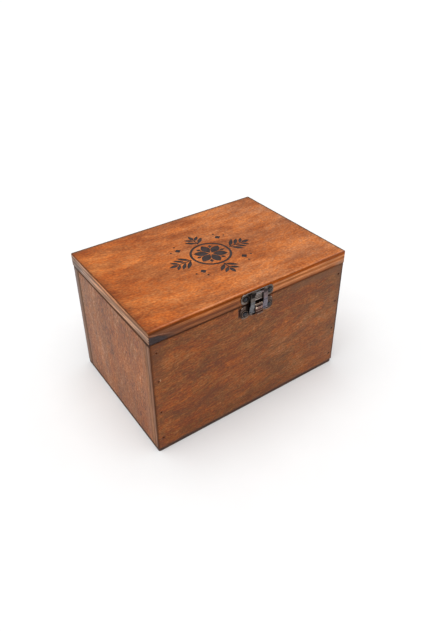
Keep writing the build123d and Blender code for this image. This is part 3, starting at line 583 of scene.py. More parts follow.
def lid_extras(S):
    G = S["G"]
    t, n = S["t"], S["n"]
    # burnt floor of the ornament
    down = G.ease(t, 0.09, 0.16)
    du = G.ease(G.size(G.sub(G.x, ORN_X)), 44.0, 44.5, 1.0, 0.0)
    dv = G.ease(G.size(G.sub(G.y, ORN_Y)), 40.0, 40.5, 1.0, 0.0)
    shallow = G.ease(t, 0.5, 0.6, 1.0, 0.0)
    burnt = G.mul(G.mul(down, shallow), G.mul(du, dv))
    lines = G.noise(G.vec(G.mul(G.x, 1 / 5.0), G.mul(G.y, 1 / 0.35), 3.1), 2, 0.5)
    soot = G.ramp(G.mad(G.sub(lines, 0.5), 0.9, G.noise(G.vec(G.mul(G.x, 1 / 6.0), G.mul(G.y, 1 / 5.0), 7.7), 3, 0.6)),
                  [(0.25, (0.018, 0.0115, 0.0112, 1)), (0.75, (0.050, 0.034, 0.032, 1))])
    face = G.ease(n, 0.3, 0.6)
    left = G.add(G.x, W / 2 + OVER_SIDE)
    right = G.sub(W / 2 + OVER_SIDE, G.x)
    far, near = G.sub(YB, G.y), G.add(G.y, -YF + OVER_FRONT)
    sides = G.least(left, right)
    # the top is darker near its left, right and back edges
    wave = G.mul(ragged(G, 9.0, 6.0), 3.0)
    m = G.mul(G.ease(G.add(left, wave), 0.4, 7.5, 0.50, 0.0), G.ease(G.y, 34.0, 50.0, 1.0, 0.35))
    S["col"] = G.mix(m, S["col"], G.mix(1.0, S["col"], (0.42, 0.36, 0.30, 1), "MULTIPLY"))
    m = G.ease(G.add(right, wave), 0.8, 6.5, 0.60, 0.0)
    S["col"] = G.mix(m, S["col"], G.mix(1.0, S["col"], (0.74, 0.92, 1.30, 1), "MULTIPLY"))
    m = G.ease(G.add(far, wave), 0.8, G.ease(G.x, -10.0, 20.0, 5.0, 6.0), 0.62, 0.0)
    S["col"] = G.mix(m, S["col"], (0.150, 0.066, 0.030, 1))
    # a fine dark outline along the arrises
    outline = G.add(G.least(sides, far), G.ease(G.y, -60.0, -25.0, 0.55, 0.0))
    dark_line(S, outline, 1.45, 0.72, rough=0.9, start=0.4)
    dark_line(S, G.least(right, far), 1.9, 0.94, colour=(0.072, 0.040, 0.024, 1), rough=0.7, start=0.95)
    # the front arris' line widens at its right end
    spread = G.ease(G.mad(ragged(G, 8.0, 33.0), 14.0, G.x), 52.0, 68.0, 1.0, 0.55)
    dark_line(S, G.mul(near, spread), 1.25, 0.88, colour=(0.155, 0.034, 0.003, 1), rough=0.8, start=0.45)
    S["soaked"] = G.most(G.mul(G.most(S["soaked"], G.ease(near, 0.1, 0.2, 0.75, 0.0)), G.ease(t, 1.3, 2.4, 1.0, 0.0)), G.ease(t, 9.1, 9.8, 0.0, 0.85))
    m = G.mul(G.ease(G.x, 50.0, 70.0), G.ease(near, 1.4, 2.8, 1.0, 0.0))
    S["col"] = G.mix(m, S["col"], G.mix(1.0, S["col"], (0.96, 1.07, 1.9, 1), "MULTIPLY"))
    # pale just behind the front arris, most at the left: partly wear, partly a painted highlight where the arris
    # catches the light
    worn_and_highlight = G.mul(G.ease(G.size(G.sub(G.mad(ragged(G, 3.0, 21.0), 0.6, near), 2.15)), 0.25, 0.85, 1.0, 0.0), G.mul(G.ease(G.mad(ragged(G, 12.0, 22.0), 30.0, G.x), -20.0, 30.0, 0.85, 0.30), G.mul(G.ease(G.mad(ragged(G, 4.0, 26.0), 8.0, G.x), -88.0, -74.0, 0.25, 1.0), G.ease(ragged(G, 5.0, 24.0), -0.20, 0.12, 0.45, 1.0))))
    S["col"] = G.mix(worn_and_highlight, S["col"], (0.56, 0.215, 0.100, 1))
    dull = G.mul(G.ease(G.mad(ragged(G, 5.0, 27.0), 3.0, near), 2.4, 6.5, 0.45, 0.0), G.ease(G.mad(ragged(G, 8.0, 28.0), 12.0, G.x), -66.0, -52.0, 1.0, 0.0))
    S["col"] = G.mix(dull, S["col"], G.mix(1.0, S["col"], (0.66, 0.52, 0.42, 1), "MULTIPLY"))
    # the edges' own stain: noise along them, then darker layers at the front's left half
    grain = G.noise(G.vec(G.mul(G.x, 1 / 9.0), G.mul(G.y, 1 / 9.0), G.mul(t, 1 / 0.5)), 3, 0.6)
    lines = G.noise(G.vec(G.mul(G.x, 1 / 16.0), G.mul(G.y, 1 / 16.0), G.mul(t, 1 / 1.0)), 2, 0.6)
    grain = G.most(G.mad(G.sub(grain, 0.5), 1.4, G.mad(G.sub(lines, 0.5), 1.9, 1.0)), 0.3)
    pos = G.mul(G.mad(ragged(G, 14.0, 1.0), 0.7, t), 1 / LID_T)
    front = G.ease(G.ny, -0.8, -0.5, 1.0, 0.0)
    stained = G.ramp(pos, [(0.0, (0.218, 0.046, 0.003, 1)), (0.15, (0.228, 0.048, 0.005, 1)), (0.22, (0.40, 0.120, 0.026, 1)),
                           (0.34, (0.44, 0.140, 0.036, 1)), (0.41, (0.29, 0.082, 0.018, 1)), (0.50, (0.215, 0.050, 0.008, 1)),
                           (0.58, (0.125, 0.026, 0.002, 1)), (0.66, (0.130, 0.028, 0.003, 1)), (0.72, (0.235, 0.073, 0.020, 1)),
                           (0.82, (0.265, 0.086, 0.026, 1)), (0.88, (0.190, 0.050, 0.010, 1)), (1.0, (0.120, 0.030, 0.006, 1))])
    half = G.ease(G.mad(ragged(G, 16.0, 9.0), 60.0, G.x), -24.0, 8.0, 1.0, 0.0)
    S["col_e"] = G.mix(G.mul(G.mul(half, front), 0.92), S["col_e"], G.tint(stained, grain))
    ribs = G.ease(G.noise(G.vec(G.mul(G.x, 1 / 34.0), G.mul(G.y, 1 / 34.0), G.mul(t, 1 / 1.25)), 1, 0.4), 0.40, 0.60)
    strength = G.ease(G.size(G.nx), 0.5, 0.8, 0.30, 0.80)
    S["col_e"] = G.tint(S["col_e"], G.mad(G.sub(ribs, 0.5), strength, 1.0))
    corner = G.ease(G.mad(ragged(G, 5.0, 3.0), 8.0, G.x), -74.0, -56.0, 0.70, 0.0)
    S["col_e"] = G.mix(G.mul(corner, front), S["col_e"], G.tint((0.105, 0.036, 0.015), G.mad(G.sub(grain, 1.0), 0.7, 1.0)))
    # duller at the right end: its upper layer browner, its foot rubbed pale, the corner stained
    m = G.mul(G.mul(front, G.ease(G.x, 50.0, 70.0)), G.ease(t, 1.7, 2.5, 1.0, 0.0))
    S["col_e"] = G.mix(m, S["col_e"], G.mix(1.0, S["col_e"], (0.88, 0.98, 1.7, 1), "MULTIPLY"))
    m = G.mul(G.mul(front, G.ease(G.x, 38.0, 52.0)), G.ease(G.size(G.sub(t, 4.5)), 0.4, 1.1, 1.0, 0.0))
    S["col_e"] = G.mix(m, S["col_e"], G.tint(S["col_e"], 1.16))
    m = G.mul(G.mul(front, G.ease(G.mad(ragged(G, 4.0, 38.0), 6.0, G.x), 77.0, 84.0, 0.0, 0.55)), G.ease(G.mad(ragged(G, 3.0, 39.0), 2.0, t), 6.8, 7.8))
    S["col_e"] = G.mix(m, S["col_e"], (0.41, 0.225, 0.135, 1))
    m = G.mul(G.mul(G.ease(G.nx, 0.32, 0.55), G.ease(G.nx, 0.80, 0.96, 0.85, 0.0)), G.ease(G.ny, -0.2, -0.1, 1.0, 0.0))
    S["col_e"] = G.mix(m, S["col_e"], (0.085, 0.050, 0.032, 1))
    # painted shade along the lower arris, for the dark gap below the lid
    low = G.ease(G.mad(ragged(G, 2.0, 2.0), 0.5, t), 9.2, 9.85, 0.0, 0.86)
    low = G.mul(low, G.ease(G.mad(ragged(G, 9.0, 35.0), 14.0, G.x), 18.0, 38.0, 1.0, 0.12))
    S["col_e"] = G.mix(low, S["col_e"], STAIN_AND_SHADE)
    # scorched wedge on the front edge at its left end, ragged where it runs out
    brush = G.noise(G.vec(G.mul(G.x, 1 / 8.0), 4.4, G.mul(t, 1 / 1.0)), 3, 0.65)
    reach = G.mad(G.x, 0.26, 3.1 + 0.26 * 91)         # its upper limit drops along the edge
    wander = G.mad(G.sub(brush, 0.5), 2.6, t)
    b = G.ease(G.sub(wander, reach), -0.5, 0.7)
    a = G.ease(G.mad(G.sub(brush, 0.5), 22.0, G.x), -80.0, -68.0, 1.0, 0.0)
    m = G.mul(G.mul(a, b), G.mul(front, 0.96))
    sooty = G.noise(G.vec(G.mul(G.x, 1 / 1.6), 9.4, G.mul(t, 1 / 1.2)), 3, 0.6)
    char = G.ramp(sooty, [(0.3, (0.015, 0.009, 0.010, 1)), (0.7, (0.056, 0.036, 0.037, 1))])
    scrape = G.mul(G.ease(G.noise(G.vec(G.mul(G.x, 1 / 6.0), 14.4, G.mul(t, 1 / 0.42)), 2, 0.5), 0.60, 0.72), G.ease(G.x, -87.0, -74.0, 0.15, 0.75))
    char = G.mix(scrape, char, (0.120, 0.062, 0.045, 1))
    S["col_e"] = G.mix(m, S["col_e"], G.mix(G.ease(G.mad(G.sub(brush, 0.5), 18.0, G.x), -82.0, -70.0), char, (0.080, 0.032, 0.018, 1)))
    # pale line left bare above it
    d = G.size(G.sub(G.sub(wander, reach), -0.95))
    m = G.mul(G.ease(d, 0.15, 0.6, 0.62, 0.0), G.mul(front, G.ease(G.x, -84.0, -66.0, 1.0, 0.0)))
    S["col_e"] = G.mix(m, S["col_e"], (0.36, 0.150, 0.080, 1))
    # duller towards the front along the left and right edges, below the face veneer
    m = G.mul(G.mul(G.ease(G.size(G.nx), 0.5, 0.8), G.ease(t, 2.2, 4.2)), G.ease(G.mad(ragged(G, 9.0, 18.0), 20.0, G.y), -58.0, -30.0, 0.75, 0.0))
    S["col_e"] = G.mix(m, S["col_e"], G.mix(1.0, S["col_e"], (0.66, 0.74, 0.86, 1), "MULTIPLY"))
    # greyer towards the back along the left and right edges
    aged = G.ramp(pos, [(0.05, (0.24, 0.135, 0.085, 1)), (0.12, (0.38, 0.230, 0.155, 1)), (0.24, (0.38, 0.230, 0.155, 1)),
                        (0.30, (0.20, 0.122, 0.085, 1)), (0.37, (0.22, 0.140, 0.100, 1)), (0.43, (0.27, 0.175, 0.130, 1)), (0.56, (0.22, 0.145, 0.110, 1)),
                        (0.63, (0.20, 0.132, 0.102, 1)), (0.70, (0.31, 0.225, 0.182, 1)), (0.83, (0.36, 0.262, 0.215, 1)), (0.91, (0.22, 0.140, 0.105, 1)),
                        (1.0, (0.10, 0.050, 0.030, 1))])
    side = G.mul(G.ease(G.size(G.nx), 0.5, 0.8), G.ease(G.mad(ragged(G, 12.0, 8.0), 40.0, G.y), 2.0, 52.0, 0.0, 0.95))
    S["col_e"] = G.mix(side, S["col_e"], G.tint(aged, G.mul(grain, G.mad(G.sub(ribs, 0.5), 0.62, 1.0))))
    S["final_col"] = lambda q: G.mix(burnt, q, soot)
    S["final_rough"] = lambda r: G.lerp(burnt, r, 0.8)


def front_extras(S):
    G = S["G"]
    # darker along both upright edges and in a fine line at the foot; the fine line at the top is painted shade below
    # the lid
    left, right = G.add(G.x, W / 2), G.sub(W / 2, G.x)
    dark_line(S, left, 1.5, 0.62, rough=0.9, start=0.3)
    dark_line(S, right, 2.6, 0.66, rough=1.0, start=0.8)
    m = G.mul(G.ease(G.mad(ragged(G, 7.0, 3.0), 5.0, right), 1.0, 9.0, 0.45, 0.0), G.ease(G.z, 30.0, 85.0, 0.3, 1.0))
    S["col"] = G.mix(m, S["col"], (0.095, 0.040, 0.018, 1))
    m = G.mul(G.ease(G.mad(ragged(G, 9.0, 7.0), 7.0, left), 2.0, 16.0, 0.50, 0.0), G.ease(G.z, 55.0, 78.0))
    S["col"] = G.mix(m, S["col"], (0.115, 0.036, 0.010, 1))
    # painted shade: a dark line along the top, below the lid's overhang, weaker to the right
    dark_line(S, G.sub(BODY_TOP - 0.3, G.z), 0.9, G.ease(G.x, 18.0, 38.0, 0.70, 0.12))
    dark_line(S, G.sub(G.z, BOTTOM_T + 0.2), 0.9, 0.45)
    # painted shade on the upper arris, in the gap below the lid
    top = G.ease(G.z, BODY_TOP - 0.9, BODY_TOP - 0.3, 0.0, 0.7)
    S["col_e"] = G.mix(G.mul(top, G.ease(G.nz, 0.9, 0.98, 1.0, 0.0)), S["col_e"], STAIN_AND_SHADE)
    # painted shade on its ends just below the lid's overhang
    under = G.mul(G.ease(G.mad(ragged(G, 2.5, 12.0), 0.8, G.z), 100.9, 102.1, 0.0, 0.90), S["end"])
    S["col_e"] = G.mix(under, S["col_e"], (0.045, 0.018, 0.010, 1))
    S["soaked"] = G.most(S["soaked"], G.mul(S["edge"], G.most(under, G.ease(S["t"], 1.1, 2.0, 0.85, 0.0))))


def latch_marks(S):
    """Painted shadow round the latch's lower plate, mostly at its left, and a painted glint: a pale fleck by one brad.
    """
    G = S["G"]
    # painted shadow cast by the lower plate on the wood, strongest at its left
    d = G.most(G.sub(G.size(G.x), 15.0), G.sub(G.size(G.sub(G.z, 98.3)), 5.7))
    m = G.ease(G.mad(ragged(G, 1.6, 5.0), 0.5, d), 0.9, 2.0, 0.95, 0.0)
    m = G.mul(m, G.mul(G.ease(G.x, -15.2, -14.4, 1.0, 0.25), G.mul(G.ease(G.z, 93.6, 95.8, 0.0, 1.0), G.ease(G.z, 101.4, 103.6, 1.0, 0.45))))
    S["col"] = G.mix(m, S["col"], (0.030, 0.0055, 0.003, 1))
    # painted glint: a pale fleck beside one brad
    du, dv = G.mul(G.sub(G.x, -84.25), 1 / 0.62), G.mul(G.sub(G.z, 70.3), 1 / 1.25)
    r = G.add(G.mul(du, du), G.mul(dv, dv))
    S["col"] = G.mix(G.ease(G.mad(ragged(G, 1.2, 7.0), 0.9, r), 0.5, 1.3, 0.75, 0.0), S["col"], (0.52, 0.25, 0.12, 1))
    for x, z, r0 in ((-BRAD_X, 12.9, 1.7), (-BRAD_X, 95.8, 0.8), (BRAD_X, 95.1, 1.2), (BRAD_X, 11.2, 1.3), (BRAD_X, 39.4, 1.2), (BRAD_X, 68.1, 1.1), (-BRAD_X, 39.6, 1.1)):
        du, dv = G.sub(G.x, x), G.sub(G.z, z)
        r = G.math("SQRT", G.add(G.mul(du, du), G.mul(dv, dv)))
        S["col"] = G.mix(G.ease(G.mad(ragged(G, 1.0, x), 0.5, r), r0 * 0.6, r0 * 1.45, 0.72, 0.0), S["col"], (0.070, 0.023, 0.010, 1))


def facade_extras(S):
    plain = S["col"]
    front_extras(S)
    G = S["G"]
    pale = G.mul(G.mul(G.ease(G.size(G.sub(G.mad(ragged(G, 7.0, 36.0), 1.2, S["t"]), 4.3)), 0.5, 1.3, 0.75, 0.0), S["end"]), G.mul(G.ease(G.z, 66.0, 82.0), G.ease(G.z, 99.0, 101.5, 1.0, 0.0)))
    S["col_e"] = G.mix(pale, S["col_e"], (0.34, 0.185, 0.115, 1))
    ribs = G.ease(G.noise(G.vec(G.mul(G.z, 1 / 38.0), 6.6, G.mul(S["t"], 1 / 0.95)), 1, 0.4), 0.40, 0.60)
    S["col_e"] = G.mix(S["end"], S["col_e"], G.mix(ribs, G.mix(1.0, S["col_e"], (0.72, 0.80, 0.92, 1), "MULTIPLY"), G.tint(S["col_e"], 1.14)))
    dark_line(S, G.sub(W / 2, G.x), 1.5, G.ease(G.z, 18.0, 40.0, 0.25, 0.80), colour=(0.060, 0.054, 0.054, 1), rough=0.7, start=0.6)
    # a duller, darker stretch below the lid, right of the latch
    m = G.mul(G.mul(G.ease(G.mad(ragged(G, 11.0, 31.0), 16.0, G.x), 30.0, 42.0), G.ease(G.z, 94.5, 100.5)), 0.64)
    S["col"] = G.mix(m, S["col"], (0.155, 0.060, 0.022, 1))
    latch_marks(S)
    # none of these marks is on its inner face
    S["col"] = G.mix(S["inner"], S["col"], plain)
    low = G.mul(S["end"], G.mul(G.ease(G.z, 9.0, 16.0), G.ease(G.z, 38.0, 52.0, 1.0, 0.0)))
    S["col_e"] = G.mix(low, S["col_e"], G.tint(S["col_e"], 1.13))


def back_extras(S):
    G = S["G"]
    front_extras(S)
    # its cut ends have gone blue-grey, and are dark along the joint
    grain = G.noise(G.vec(G.mul(G.z, 1 / 9.0), 2.2, G.mul(S["t"], 1 / 0.55)), 3, 0.6)
    aged = G.tint(G.ramp(G.mul(S["t"], 1 / WALL), [(0.0, (0.150, 0.092, 0.072, 1)), (0.11, (0.185, 0.115, 0.088, 1)), (0.28, (0.265, 0.165, 0.125, 1)),
                                                   (0.31, (0.170, 0.100, 0.076, 1)), (0.35, (0.265, 0.160, 0.118, 1)), (0.49, (0.245, 0.138, 0.088, 1)),
                                                   (0.53, (0.150, 0.074, 0.044, 1)), (0.57, (0.225, 0.112, 0.060, 1)), (0.66, (0.200, 0.088, 0.036, 1)),
                                                   (0.74, (0.140, 0.052, 0.015, 1)), (0.92, (0.115, 0.042, 0.012, 1)), (1.0, (0.130, 0.050, 0.016, 1))]),
                  G.mad(G.sub(grain, 0.5), 1.3, 1.0))
    S["col_e"] = G.mix(G.mul(S["end"], G.ease(G.z, BODY_TOP - 3.5, BODY_TOP - 2.2, 0.92, 0.0)), S["col_e"], aged)
    S["col_e"] = G.mix(G.mul(S["end"], G.ease(G.z, 62.0, 84.0)), S["col_e"], G.mix(1.0, S["col_e"], (0.97, 1.12, 1.32, 1), "MULTIPLY"))
    S["soaked"] = G.mul(S["soaked"], G.inv(S["edge"]))


def side_extras(S):
    G = S["G"]
    near = G.add(G.y, YI)
    far = G.sub(YI, G.y)
    dark_line(S, far, 1.0, 0.85, rough=0.5, start=0.3, colour=(0.075, 0.032, 0.016, 1))
    dark_line(S, near, 0.5, 0.18, rough=0.6, start=0.0)
    paler = G.mul(G.ease(G.mad(ragged(G, 6.0, 15.0), 4.0, near), 1.0, 9.0, 0.55, 0.0), G.ease(S["fibre"], -0.2, 0.1, 0.5, 1.0))
    S["col"] = G.mix(paler, S["col"], (0.370, 0.158, 0.070, 1))
    grey = G.mul(G.ease(G.y, 20.0, 56.0, 0.0, 0.55), G.ease(G.z, 40.0, 90.0, 0.15, 1.0))
    S["col"] = G.mix(grey, S["col"], G.mix(1.0, S["col"], (0.92, 1.12, 1.35, 1), "MULTIPLY"))
    # painted shade, nearly black, just below the lid's overhang
    d = G.sub(BODY_TOP, G.z)
    dark_line(S, d, 3.2, 0.93, colour=(0.080, 0.024, 0.007, 1), rough=0.9, start=2.1)
    dark_line(S, G.sub(G.z, BOTTOM_T), 0.8, 0.55)


def bottom_extras(S):
    G = S["G"]
    # its cut edge is scorched nearly black
    S["col_e"] = G.mix(G.ease(S["blotch"], 0.25, 0.8, 0.95, 0.7), S["col_e"], CHAR)
    S["gloss"] = 0.08


# layers of the lid's long edges, and of its ends, where the face grain is cut through
LINE = (0.140, 0.055, 0.030)
lid_long = [(0.0, (0.30, 0.058, 0.006)), (1.6, (0.335, 0.072, 0.007)), (1.85, (0.34, 0.075, 0.008)), (2.2, (0.50, 0.165, 0.044)),
            (3.3, (0.60, 0.215, 0.070)), (3.7, (0.50, 0.170, 0.048)), (4.1, (0.36, 0.105, 0.018)), (4.7, (0.36, 0.092, 0.008)),
            (5.2, (0.40, 0.110, 0.014)), (5.7, (0.52, 0.175, 0.050)), (6.6, (0.62, 0.230, 0.082)), (7.1, (0.58, 0.205, 0.072)), (7.4, (0.46, 0.150, 0.044)),
            (7.9, (0.46, 0.150, 0.040)), (8.3, (0.36, 0.108, 0.024)), (8.9, (0.37, 0.108, 0.024)), (9.2, (0.27, 0.070, 0.012)), (10.4, (0.18, 0.040, 0.008))]
lid_end = [(0.0, (0.28, 0.098, 0.032)), (0.45, (0.42, 0.165, 0.064)), (0.9, (0.54, 0.235, 0.102)), (2.2, (0.53, 0.245, 0.116)),
           (2.6, (0.49, 0.215, 0.096)), (2.95, (0.27, 0.105, 0.042)), (3.6, (0.29, 0.115, 0.048)), (4.0, (0.46, 0.220, 0.110)),
           (4.9, (0.54, 0.285, 0.160)), (5.4, (0.47, 0.240, 0.130)), (5.7, (0.56, 0.300, 0.172)), (6.8, (0.54, 0.290, 0.168)), (7.1, (0.44, 0.220, 0.120)), (7.35, (0.54, 0.285, 0.165)),
           (8.3, (0.48, 0.245, 0.138)), (8.9, (0.42, 0.205, 0.108)), (9.3, (0.30, 0.125, 0.055)), (10.4, (0.13, 0.040, 0.016))]
SEAM_C = (0.105, 0.055, 0.042)
wall_end = [(0.0, (0.085, 0.024, 0.008)), (1.1, (0.095, 0.028, 0.009)), (1.5, (0.150, 0.055, 0.024)), (2.0, (0.25, 0.112, 0.058)),
            (2.9, (0.29, 0.142, 0.082)), (3.1, (0.17, 0.080, 0.048)), (3.35, (0.30, 0.142, 0.080)), (4.3, (0.26, 0.118, 0.058)),
            (4.9, (0.17, 0.070, 0.034)), (5.6, (0.22, 0.095, 0.045)), (6.3, (0.30, 0.138, 0.070)), (7.4, (0.32, 0.142, 0.070)), (7.65, (0.22, 0.090, 0.042)),
            (7.9, (0.35, 0.158, 0.078)), (9.0, (0.35, 0.155, 0.075))]
wall_long = [(0.0, (0.24, 0.070, 0.022)), (1.1, (0.26, 0.078, 0.024)), (1.3, LINE), (1.55, (0.46, 0.190, 0.080)), (2.8, (0.50, 0.210, 0.095)),
             (3.05, LINE), (3.3, (0.30, 0.100, 0.036)), (4.7, (0.33, 0.112, 0.040)), (4.95, LINE), (5.2, (0.50, 0.215, 0.100)),
             (7.4, (0.46, 0.190, 0.085)), (7.65, LINE), (7.9, (0.30, 0.100, 0.036)), (9.0, (0.26, 0.085, 0.030))]
sheet = [(0.0, (0.16, 0.055, 0.022)), (0.9, (0.18, 0.060, 0.024)), (1.0, LINE), (1.2, (0.32, 0.125, 0.052)), (1.9, (0.30, 0.115, 0.048)),
         (2.0, LINE), (2.2, (0.18, 0.06, 0.024)), (3.0, (0.18, 0.06, 0.024))]

wood_lid = board_material("wood_lid_board", "x", "y", "z", lambda G: G.sub(H, G.z), LID, RAW, 11.0, 1.0, lid_long, lid_end, LID_T, lid_extras)
wood_front = board_material("wood_front_board", "x", "z", "y", lambda G: G.sub(G.y, YF), CASE, RAW, 23.0, -1.0, wall_long, wall_end, WALL, facade_extras)
wood_back = board_material("wood_back_board", "x", "z", "y", lambda G: G.sub(YB, G.y), CASE, RAW, 37.0, 1.0, wall_long, wall_end, WALL, back_extras)
wood_left = board_material("wood_left_board", "z", "y", "x", lambda G: G.add(G.x, W / 2), SIDE, RAW, 41.0, -1.0, wall_long, wall_end, WALL, side_extras)
wood_right = board_material("wood_right_board", "z", "y", "x", lambda G: G.sub(W / 2, G.x), SIDE, RAW, 59.0, 1.0, wall_long, wall_end, WALL, side_extras)
wood_bottom = board_material("wood_bottom_board", "x", "y", "z", lambda G: G.mul(G.z, 1.0), RAW, RAW, 67.0, -1.0, sheet, sheet, BOTTOM_T, bottom_extras)

# ---------------------------------------------------------------------------
# the six boards
# ---------------------------------------------------------------------------
PLIES = (1.3, 4.45, 6.3, 8.15)
GAP = 0.07     # the joints between boards show as fine lines


def pits(xs_zs):
    return [([circle(x, z, 0.8, 16)], 1.3) for x, z in xs_zs]


board("lid_board", (-W / 2 - OVER_SIDE, W / 2 + OVER_SIDE, YF - OVER_FRONT, YB), LID_T,
      lambda u, v, w: Vector((u, v, H - w)) * MM, (0.5,) * 4, (0.5,) * 4, corner=(2.0, 1.0, 1.4, 1.0), plies=(1.8, 4.2, 6.5, 9.0), seed=3,
      regions=lid_regions, body="lid", stands_for="lid_panel", material=wood_lid, step=2.4)
board("front_board", (-W / 2, W / 2, BOTTOM_T + GAP, BODY_TOP), WALL,
      lambda u, v, w: Vector((u, YF + w, v)) * MM, (0.6, 0.6, 0.25, 0.5), (0.2, 0.2, 0.2, 0.5), plies=PLIES, seed=5,
      regions=pits([(-BRAD_X, z) for z in BRADS_LEFT] + [(BRAD_X, z) for z in BRADS_RIGHT]),
      body="box", stands_for="front_panel", material=wood_front)
board("back_board", (-W / 2, W / 2, BOTTOM_T + GAP, BODY_TOP), WALL,
      lambda u, v, w: Vector((u, YB - w, v)) * MM, (0.6, 0.6, 0.25, 0.5), (0.2, 0.2, 0.2, 0.5), plies=PLIES, seed=7,
      regions=pits([(-BRAD_X, z) for z in BACK_LEFT] + [(BRAD_X, z) for z in BACK_RIGHT]),
      body="box", stands_for="back_panel", material=wood_back)
board("left_side_board", (-YI + GAP, YI - GAP, BOTTOM_T + GAP, BODY_TOP), WALL,
      lambda u, v, w: Vector((-W / 2 + 0.08 + w, u, v)) * MM, (0.15, 0.15, 0.25, 0.5), (0.2, 0.2, 0.2, 0.4), plies=PLIES, seed=9,
      body="box", stands_for="left_side_panel", material=wood_left)
board("right_side_board", (-YI + GAP, YI - GAP, BOTTOM_T + GAP, BODY_TOP), WALL,
      lambda u, v, w: Vector((W / 2 - 0.08 - w, u, v)) * MM, (0.15, 0.15, 0.25, 0.5), (0.2, 0.2, 0.2, 0.4), plies=PLIES, seed=12,
      body="box", stands_for="right_side_panel", material=wood_right)
board("bottom_board", (-W / 2, W / 2, -D / 2, D / 2), BOTTOM_T,
      lambda u, v, w: Vector((u, v, w)) * MM, (0.4,) * 4, (0.15,) * 4, corner=(2.6, 1.4, 1.4, 1.4), plies=(1.0, 2.0), seed=15,
      regions=[([circle(x, y, 0.8, 16)], 1.3) for x, y in BOTTOM_BRADS],
      body="box", stands_for="bottom_panel", material=wood_bottom, step=3.0)


# ---------------------------------------------------------------------------
# metal
# ---------------------------------------------------------------------------
def metal(name, dark, light, rough, seed, worn_and_highlight=(0.42, 0.36, 0.31, 1), metallic=1.0, amount=0.5, tone_of=None, tint_of=None, shade_and_dirt=None, painted_highlight=None):
    """Plating that has darkened unevenly, with a rubbed look and fine scratches. tone_of adds to its tone and tint_of
    changes its colour by place, shade_and_dirt returns where painted shade, with some dirt, darkens it and
    painted_highlight where a painted highlight brightens it.
    """
    G = Graph(name)
    soft = G.noise(G.vec(G.mul(G.x, 1 / 3.2), G.mul(G.y, 1 / 3.2), G.mad(G.z, 1 / 3.2, seed)), 4, 0.6)
    fine = G.noise(G.vec(G.mul(G.x, 1 / 0.35), G.mul(G.y, 1 / 0.35), G.mad(G.z, 1 / 0.35, seed)), 3, 0.6)
    brushed = G.noise(G.vec(G.mul(G.x, 1 / 2.6), G.mul(G.y, 1 / 0.5), G.mad(G.z, 1 / 0.12, seed)), 2, 0.5)
    tone = G.mad(G.sub(fine, 0.5), 0.5, G.mad(G.sub(brushed, 0.5), 0.35, soft))
    if tone_of:
        tone = G.add(tone, tone_of(G))
    col = G.ramp(tone, [(0.3, dark), (0.7, light)])
    rub = G.ease(G.mad(G.sub(fine, 0.5), 0.3, soft), 0.56, 0.74, 0.0, amount)
    col = G.mix(rub, col, worn_and_highlight)
    if tint_of:
        col = tint_of(G, col)
    r = G.mad(G.sub(fine, 0.5), 0.22, G.mad(G.sub(soft, 0.5), 0.25, rough))
    # painted highlight: lighter, smoother metal where a ridge or crest would catch the light
    if painted_highlight:
        m = G.mul(painted_highlight(G), G.ease(fine, 0.30, 0.55, 0.55, 1.0))
        col = G.mix(m, col, tuple(min(1.0, v * 1.35) for v in worn_and_highlight[:3]) + (1,))
        r = G.lerp(m, r, 0.22)
    # painted shade, with some dirt, in hollows and behind parts
    if shade_and_dirt:
        m = G.mul(shade_and_dirt(G), G.ease(soft, 0.25, 0.6, 0.75, 1.0))
        col = G.mix(m, col, (0.012, 0.008, 0.007, 1))
        r = G.lerp(m, r, 0.75)
    height = G.mad(fine, 0.5, G.mul(brushed, 0.4))
    return G.shade(col, r, G.bump(height, 0.012, 0.8), Metallic=metallic)


def around(G, x, z):
    """Distance from the nearer of two points at x and -x, seen from the front."""
    du, dv = G.sub(G.size(G.x), x), G.sub(G.z, z)
    return G.math("SQRT", G.add(G.mul(du, du), G.mul(dv, dv)))


def band(G, v, centre, half, soft):
    return G.ease(G.size(G.sub(v, centre)), half - soft, half + soft, 1.0, 0.0)


def out(G):
    """How far a point stands out from the front wall."""
    return G.sub(YF, G.y)


def shade_and_dirt_base(G):
    # painted shade, with some dirt, in the ring round each tack, under the link's arms and round the tongue
    r = around(G, 11.1, 97.0)
    m = G.most(band(G, r, 2.05, 0.35, 0.25), G.mul(band(G, r, 3.2, 0.35, 0.3), 0.9))
    tongue = G.mul(G.ease(G.size(G.x), 3.4, 4.6, 1.0, 0.0), G.ease(out(G), 1.0, 1.4, 1.0, 0.0))
    arms = G.mul(band(G, G.size(G.x), 7.6, 2.4, 0.9), G.mul(G.ease(out(G), 0.85, 1.1, 1.0, 0.0), G.ease(G.z, 95.0, 97.0, 0.0, 0.8)))
    return G.most(G.most(m, tongue), arms)


def painted_highlight_base(G):
    # painted highlight along the rolled barrel, the ring's crest, the plate's upper corners and its foot
    r = around(G, 11.1, 97.0)
    crest = G.mul(band(G, r, 2.5, 0.18, 0.12), 0.5)
    barrel = G.mul(G.ease(out(G), 1.5, 1.8), G.ease(G.nz, 0.1, 0.6))
    corner = G.mul(band(G, G.size(G.x), 13.9, 0.55, 0.35), band(G, G.z, 102.9, 0.5, 0.35))
    foot = G.ease(G.z, 93.2, 94.4, 0.40, 0.0)
    return G.most(G.most(G.most(crest, barrel), corner), foot)


